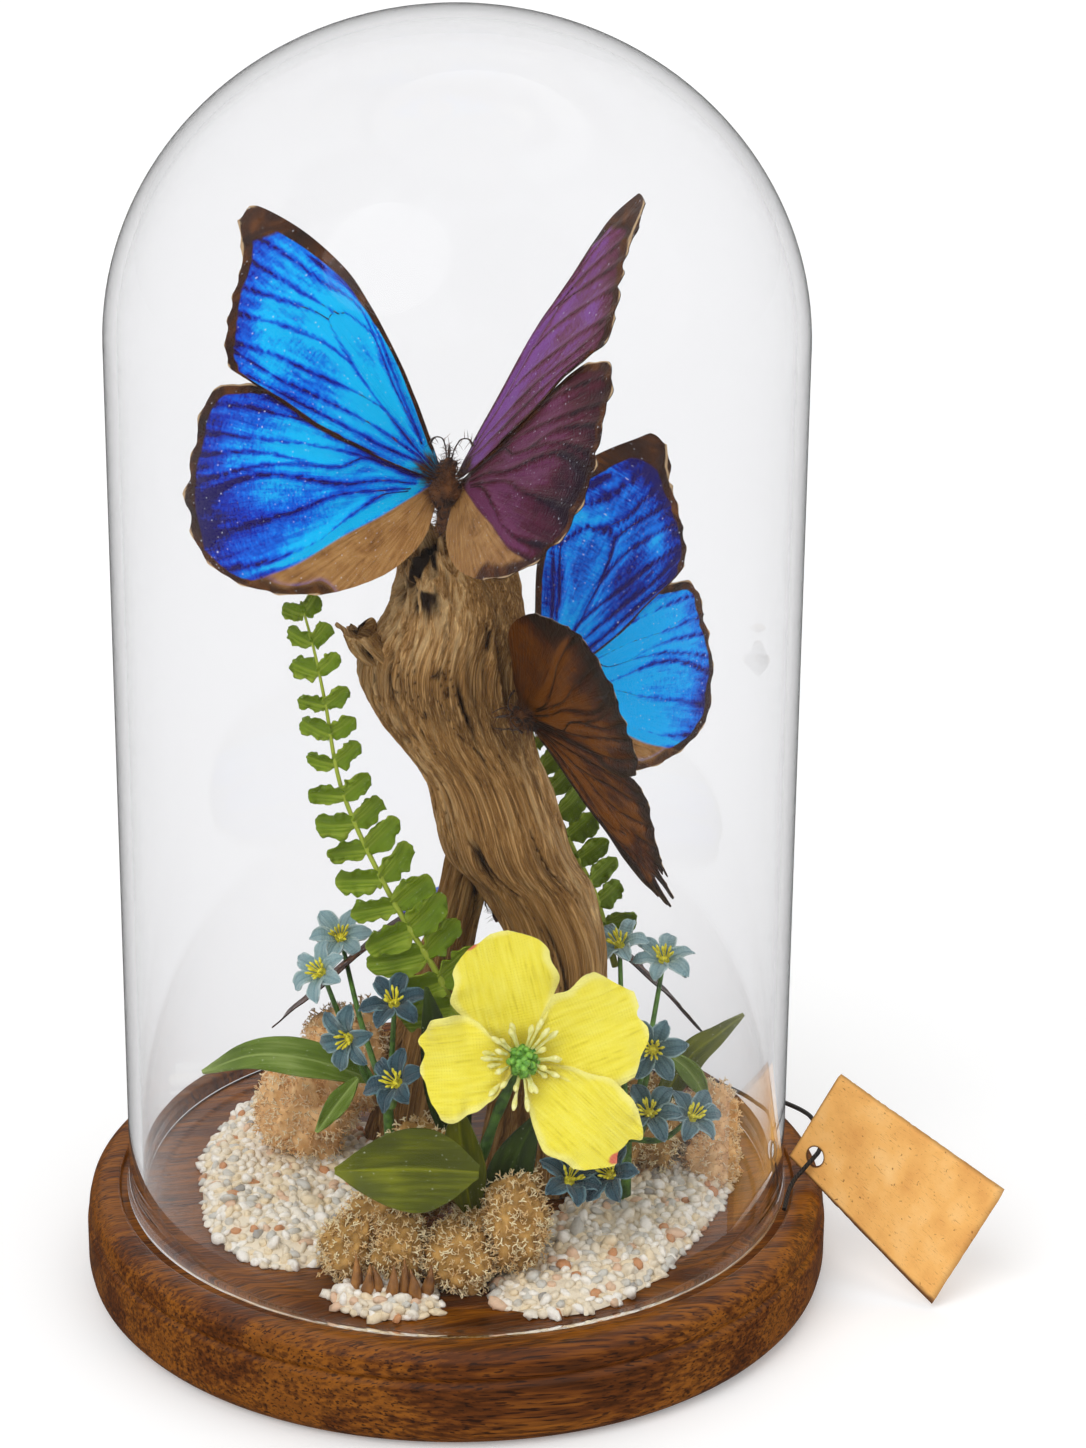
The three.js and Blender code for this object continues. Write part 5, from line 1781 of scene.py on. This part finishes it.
SPRAYS = (
    BlueSpray("left", (-13, -17, 20), (-14, -17, 46), (
        (-27.6, -14, 74.6), (-12.3, -23, 71.9), (-21.8, -18, 61.7), (-11.4, -31, 57.8),
        (-25.7, 18, 68)), (1, 5), (2, 4)),
    BlueSpray("right", (36, -12, 20), (36, -12, 36), (
        (34.5, 9, 70.7), (44, 8, 67.9), (40.8, -18, 59.6), (40.2, -22, 46.9), (49.1, -18, 43.9),
        (23.6, -40, 40.5), (32, -38, 41)), (1, 2), (6, 7)),
)


@dataclass
class Leaves:
    """The single leaves: broad and olive in front, narrow and greyer at the sides."""

    shares: tuple[float, ...] = (0.15, 0.7, 1, 0.9, 0.55, 0.06)
    leaves: tuple[tuple[str, float, str, Any, tuple[Point, ...]], ...] = (
        ("front_broad", 17, "leaf", FACE_OUT, ((5.4, -45, 45), (-8, -49, 47.5), (-23.2, -48, 46.5))),
        ("left_long", 8, "pale_leaf", (0, -0.8, 0.6),
         ((-17, -12, 49), (-30.1, -12, 53.6), (-42, -12, 54.6), (-53, -12, 50.5))),
        ("left_small", 4.5, "pale_leaf", FACE_OUT, ((-20, -21, 54), (-24, -22.5, 49), (-28.4, -24, 42.8))),
        ("inner_left", 9, "dark_leaf", FACE_OUT, ((2, -26, 36), (-2.9, -27, 62.3), (-5.5, -28, 78))),
        ("inner_front", 9, "leaf", FACE_OUT, ((4, -37, 30), (2, -38, 44), (1, -40, 58))),
        ("inner_right", 9, "dark_leaf", FACE_OUT, ((8, -36, 28), (12, -37, 42), (17, -38.5, 55))),
        ("right_long", 6.5, "leaf", FACE_OUT, ((42, 3, 34), (50, 8, 45), (56, 9, 50), (62, 10, 54.5))),
        ("right_low", 4.5, "pale_leaf", FACE_OUT, ((45, 2, 49), (50, 3, 44), (54.2, 4, 36.4))))

    def build(self) -> None:
        """Builds each leaf with its stalk end narrow."""
        for seed, (name, width, finish, facing, path) in enumerate(self.leaves):
            solid = Solid()
            widths = tuple(max(s * width, 0.5) for s in self.shares)
            leaf = Blade(path, widths, facing, thickness=0.4, crease=0.28, rows=60, columns=21,
                         seed=seed + 40)
            leaf.add_to(solid)
            dress(solid, f"leaf_{name}", "leaf", finish, sharp=80)


@dataclass
class Fern:
    """A frond: a stalk with pairs of wavy leaflets, longest in the middle."""

    name: str
    path: tuple[Point, ...]
    widths: tuple[float, ...]
    pairs: int
    seed: int
    shares: tuple[float, ...] = (0.5, 0.95, 1.0, 0.98, 0.86, 0.5)  # of its width, along a leaflet

    def build(self) -> None:
        """Builds the stalk and its leaflets."""
        solid = Solid()
        line = curve(self.path, FROND_STEPS)
        solid.tube(line, np.linspace(0.8, 0.25, FROND_STEPS), 8,
                   throat=0.0, edge=0.0, pale=0.6, flush=0.0, under=0.0)
        ahead, across, out = rails(line, (0, -1, 0.25))
        rng = np.random.default_rng(self.seed)
        for k in range(self.pairs):
            share = 0.06 + 0.92 * k / (self.pairs - 1)
            at = int(share * (FROND_STEPS - 1))
            length = float(stops(self.widths, np.array([share]))[0]) / 2
            for side in (-1, 1):
                lean = rng.uniform(0.05, 0.3) + 0.45 * share**2
                way = unit(across[at] * side + ahead[at] * lean + out[at] * rng.uniform(-0.3, 0.3))
                reach = length * rng.uniform(0.85, 1.1)
                start = line[at] + out[at] * 0.2
                droop = out[at] * rng.uniform(-0.18, 0.12) * reach
                path = [start, start + way * reach * 0.5 + ahead[at] * 0.2,
                        start + way * reach + droop + ahead[at] * 0.8]
                wide = max(reach * 0.58, 3.8) * rng.uniform(0.9, 1.2)
                widths = tuple(s * wide for s in self.shares)
                facing = out[at] + across[at] * rng.uniform(-0.3, 0.3)
                leaflet = Blade(path, widths, facing, thickness=0.3, crease=0.4, ruffle=1.3, waves=6,
                                rows=26, columns=11, blunt=0.14, frill=0.22, seed=int(rng.integers(1000)))
                leaflet.add_to(solid, pale=0.35)
        dress(solid, self.name, "fern", "fern", sharp=80)


FERNS = (
    Fern("front_fern", ((4, -15, 56), (-3, -15, 73.5), (-13.4, -15, 92.7), (-22.8, -14, 114.6),
                        (-26.3, -13, 134), (-28.5, -12, 145), (-31, -11.5, 155)),
         (14, 24, 20, 17, 13, 11, 9), 16, 5),
    Fern("rear_fern", ((34, 22, 60), (29.6, 24, 75.4), (24.7, 25, 86), (18.5, 25, 101), (14.5, 25, 117)),
         (11, 15, 16, 15, 8), 11, 9),
)


# ---------- moss and gravel ----------
@dataclass
class Moss:
    """A clump of preserved reindeer moss: soft lobes thick with little forked tips."""

    name: str
    lobes: tuple[Point, ...]  # of each: x, y, z, and its half width, depth and height
    finish: str = "moss"
    # the lobes' finish, darker than the tips, as painted shade in the gaps between them
    core: str = "painted_shade_moss_core"
    seed: int = 1
    tufts: Scatter = Scatter(1.14, (1.4, 1.4, 1.4), (2.4, 2.4, 2.8), 0.8)

    def build(self) -> None:
        """Builds the lobes and sets the tips on them."""
        solid = Solid()
        for number, (x, y, z, wide, deep, high) in enumerate(self.lobes):
            polar = np.linspace(0.06, math.pi - 0.06, 36)[:, None]
            turn = circle(60)[None]
            level = -np.cos(polar) + 0 * turn
            ball = np.stack([np.sin(polar) * np.cos(turn), np.sin(polar) * np.sin(turn), level], axis=-1)
            swell = 0.82 + 0.2 * noise(ball * 2.4, self.seed + number, 4)
            points = np.array([x, y, z]) + ball * swell[..., None] * np.array([wide, deep, high])
            points[..., 2] = np.maximum(points[..., 2], FLOOR + 0.2)
            solid.grid(points, ring=True)
        made = solid.make(f"fine_{self.name}", SHOP.take(self.core), 180)
        self.tufts.on(made, SHAPES["sprig"], self.finish, self.seed, FLOOR)
        settle(made, "moss", self.name)


CLUMPS = (
    Moss("moss_front", ((-21, -42, 26, 6.6, 9, 8), (-10.5, -44, 27, 6.2, 9, 8.5),
                        (1.5, -45, 26, 8, 9, 8.5), (13, -40, 31, 7.6, 9, 12.5),
                        (-14, -36, 30, 8, 7, 9), (5, -37, 27, 8, 7, 7)), seed=2),
    Moss("moss_middle_left", ((-6.5, -27, 36, 10, 8, 12),), seed=3),
    Moss("moss_back_left", ((-33, 10, 32, 12, 13, 14), (-24, 13, 42, 11, 10, 14)),
         "tan_moss", "painted_shade_tan_core", 4),
    Moss("moss_right", ((40, 8, 29, 12, 12, 13),), seed=5),
    Moss("moss_far_right", ((55, 6, 22, 7, 12, 8), (55, 14, 27, 7, 8, 10)), "tan_moss", "painted_shade_tan_core", 6),
)


@dataclass
class Gravel:
    """A bed of stone chips: a low mound covered in small ones, with larger ones on top."""

    name: str
    outline: tuple[Point, ...]
    seed: int
    husks: tuple[Point, ...] = ()  # where brown pointed husks stick up out of the stones
    depth: float = 2.6
    columns: int = 96
    small: Scatter = Scatter(1.95, (1.0, 0.75, 0.65), (1.85, 1.35, 1.05), 0.6, 0.2)
    large: Scatter = Scatter(4.2, (1.6, 1.25, 1.0), (2.8, 2.0, 1.45), 0.5, 0.25, 0.85)

    def build(self) -> None:
        """Builds the mound and sets both sizes of chips on it."""
        rim = curve([*self.outline, self.outline[0]], self.columns + 1)[:-1]
        middle = rim.mean(axis=0)
        share = np.linspace(1, 0.03, 14)[:, None, None]
        flat = middle + (rim[None] - middle) * share
        bumps = ripple(flat[..., 0] / 6, flat[..., 1] / 6, self.seed, 2)
        height = FLOOR + 0.1 + self.depth * step(1.0, 0.75, share[..., 0])
        height = height + 0.7 * bumps * (share[..., 0] < 0.97)
        low = np.concatenate([flat[:1], np.full((1, self.columns, 1), FLOOR)], axis=-1)
        top = np.concatenate([flat, height[..., None]], axis=-1)
        solid = Solid()
        counter = np.cross(rim[1] - middle, rim[8] - middle) > 0
        grid = np.concatenate([low, top])
        solid.grid(grid if counter else grid[:, ::-1], ring=True, shade=0.45, bare=0.0)
        for number, (x, y) in enumerate(self.husks):
            tip = np.array([x + 1.2 * math.sin(number * 2.3), y + 0.4, 28 + math.cos(number * 1.7)])
            path = curve([(x, y, 20.2), ((x + tip[0]) / 2 + 0.3, y - 0.4, 24.5), tip], 9)
            radii = stops((1.0, 1.35, 1.1, 0.6, 0.12), np.linspace(0, 1, 9))
            solid.tube(path, radii, 9, 1, shade=0.5, bare=1.0)
        made = solid.make(f"fine_{self.name}", SHOP.take("stone", "husk"), 80)
        self.small.on(made, SHAPES["chip"], "stone", self.seed, FLOOR)
        self.large.on(made, SHAPES["chip"], "stone", self.seed + 1, FLOOR)
        settle(made, "gravel", self.name)


BEDS = (
    Gravel("gravel_left", ((-56, 10), (-53, -14), (-48, -28), (-39, -38), (-29, -38), (-16, -24),
                           (-12, 10), (-26, 30), (-40, 42), (-50, 32)), 7),
    Gravel("gravel_front", ((-25, -50), (-22, -56), (-13, -60), (-5, -59), (-2, -52), (-10, -46),
                            (-19, -45)), 8,
           ((-19, -51), (-17, -53), (-14.5, -52), (-12, -54), (-9.5, -52.5), (-7, -54), (-5, -52))),
    Gravel("gravel_right", ((8, -54), (21, -58), (37, -49), (49, -27), (60, 2), (61, 14), (54, 27),
                            (36, 26), (22, -14), (10, -36)), 9),
)


# ---------- tag and cord ----------
@dataclass
class TagAndCord:
    """The blank kraft card tag, which leans on the base's rim, and the black cord through its hole."""

    corners: tuple[Point, ...] = (
        (71, -2.2, 26.3), (81.3, -4.2, 47.4), (116.4, -15, 25.5), (101.4, -20.5, 0.9))
    hole: tuple[float, float] = (0.2, 0.115)  # its place up and along, as shares
    hole_radius: float = 2.0
    thickness: float = 0.8
    cord_radius: float = 0.5
    route: tuple[Point, ...] = (
        (69.6, -15.6, 20.8), (70.2, -12.8, 21.7), (71, -10.2, 22.9), (72.2, -8.2, 24.2), (73.6, -7.2, 25.4),
        (75.2, -6.3, 27), (76.5, -4.7, 27.7), (77.5, -2.6, 27.9), (78.2, 1, 27.9), (78.2, 6, 27.6),
        (77.8, 12, 26.8), (77, 17.8, 25.8), (75.9, 22.5, 24.6), (74.3, 27, 23.4), (72, 31.2, 22.5),
        (69, 35, 22.3), (65.5, 38.2, 22.4), (61.8, 40.8, 22.5), (58.6, 42.8, 22.2), (55.2, 44.9, 21.5),
        (52.3, 48.4, 20.8))

    def on_tag(self, up: np.ndarray, out: np.ndarray) -> np.ndarray:
        """Finds points in the middle of the card.

        Args:
            up: how far each is from the lower edge, as a share.
            out: how far each is from the hole's end, as a share.

        Returns:
            The points.
        """
        low, high, far_high, far_low = (np.array(c, float) for c in self.corners)
        up, out = up[..., None], out[..., None]
        near = low + (high - low) * up
        return near + (far_low + (far_high - far_low) * up - near) * out

    def card(self) -> Object:
        """Cuts the card with its punched hole and rubbed edges.

        Returns:
            The finished piece.
        """
        columns, rows = 240, 26
        turn = circle(columns) + 0.3
        tall = float(np.linalg.norm(np.subtract(self.corners[1], self.corners[0])))
        wide = float(np.linalg.norm(np.subtract(self.corners[3], self.corners[0])))
        way = np.stack([np.sin(turn) / tall, np.cos(turn) / wide], axis=-1)
        centre = np.array(self.hole)
        ahead, behind = (1 - centre) / np.maximum(way, 1e-9), centre / np.maximum(-way, 1e-9)
        room = np.where(way > 0, ahead, behind).min(axis=1)
        fray = 0.3 * ripple(np.cos(turn) * 40, np.sin(turn) * 40, 3, 3)
        low_side = np.isclose(centre[0] + way[:, 0] * room, 0)
        room = room - 0.15 - np.abs(fray) * np.where(low_side, 1.3, 0.5)
        share = np.linspace(0, 1, rows)[:, None] ** 1.3
        distance = self.hole_radius + (room[None] - self.hole_radius) * share
        flat = centre + way[None] * distance[..., None]
        mid = self.on_tag(flat[..., 0], flat[..., 1])
        sides = self.on_tag(np.array([0.5, 0.5, 1.0, 0.0]), np.array([1.0, 0.0, 0.5, 0.5]))
        normal = unit(np.cross(sides[0] - sides[1], sides[2] - sides[3]))
        bow = 0.25 * noise(flat[..., [0, 1, 1]] * 3, 8)
        inner = np.linspace(0, 1, rows)[:, None]
        rim = np.minimum(step(0, 0.03, inner), step(1, 0.985, inner))
        half = self.thickness / 2 * (0.55 + 0.45 * rim)
        mid = mid + normal * (bow * rim)[..., None]
        above, below = mid + normal * half[..., None], mid - normal * half[..., None]
        loop = np.concatenate([above, below[::-1]])
        depth = np.minimum.reduce([flat[..., 0] * tall, (1 - flat[..., 0]) * tall, flat[..., 1] * wide,
                                   (1 - flat[..., 1]) * wide])
        # Darker: every edge a little, as rubbed wear, and the lower edge most; round the hole, painted shade,
        # so that the hole looks dark.
        worn = np.maximum(step(0.9, 0.1, depth) * 0.55, step(1.2, 0.2, flat[..., 0] * tall))
        worn = np.maximum(worn, step(0.5, 0.05, distance - self.hole_radius))
        place = np.stack([flat[..., 1] * wide, flat[..., 0] * tall, 0 * worn], axis=-1)
        solid = Solid()
        count = 2 * rows
        index = np.arange(count * columns).reshape(count, columns)
        right, down = np.roll(index, -1, axis=1), np.roll(index, -1, axis=0)
        faces = np.stack([index, down, np.roll(down, -1, axis=1), right], axis=-1).reshape(-1, 4)
        both = {"place": np.concatenate([place, place[::-1]]).reshape(-1, 3),
                "worn": np.concatenate([worn, worn[::-1]]).reshape(-1)}
        solid.add(loop, [faces], **both)
        return dress(solid, "tag", "kraft_card", "kraft")

    def build(self) -> None:
        """Builds the card and the cord."""
        card = self.card()
        path = curve(self.route, 160)
        solid = Solid()
        solid.tube(path, self.cord_radius, 12)
        cord = dress(solid, "tag_cord", "cord", "thread", sharp=60)


def main() -> None:
    """Builds the display, from the camera and the cord to the gravel, and reports each piece."""
    logging.basicConfig(level=logging.INFO, format="%(name)s: %(message)s")
    shapes = Shapes()
    SHAPES.update(hair=shapes.hair(), chip=shapes.chip(), sprig=shapes.sprig())
    studio = Studio()
    studio.camera()
    TagAndCord().build()
    studio.light()
    studio.floor()
    made_things = (Base(), Dome(), Driftwood(), *BUTTERFLIES)
    for part in (*made_things, YellowFlower(), *SPRAYS, Leaves(), *FERNS, *CLUMPS, *BEDS):
        part.build()


if __name__ == "__main__":
    main()
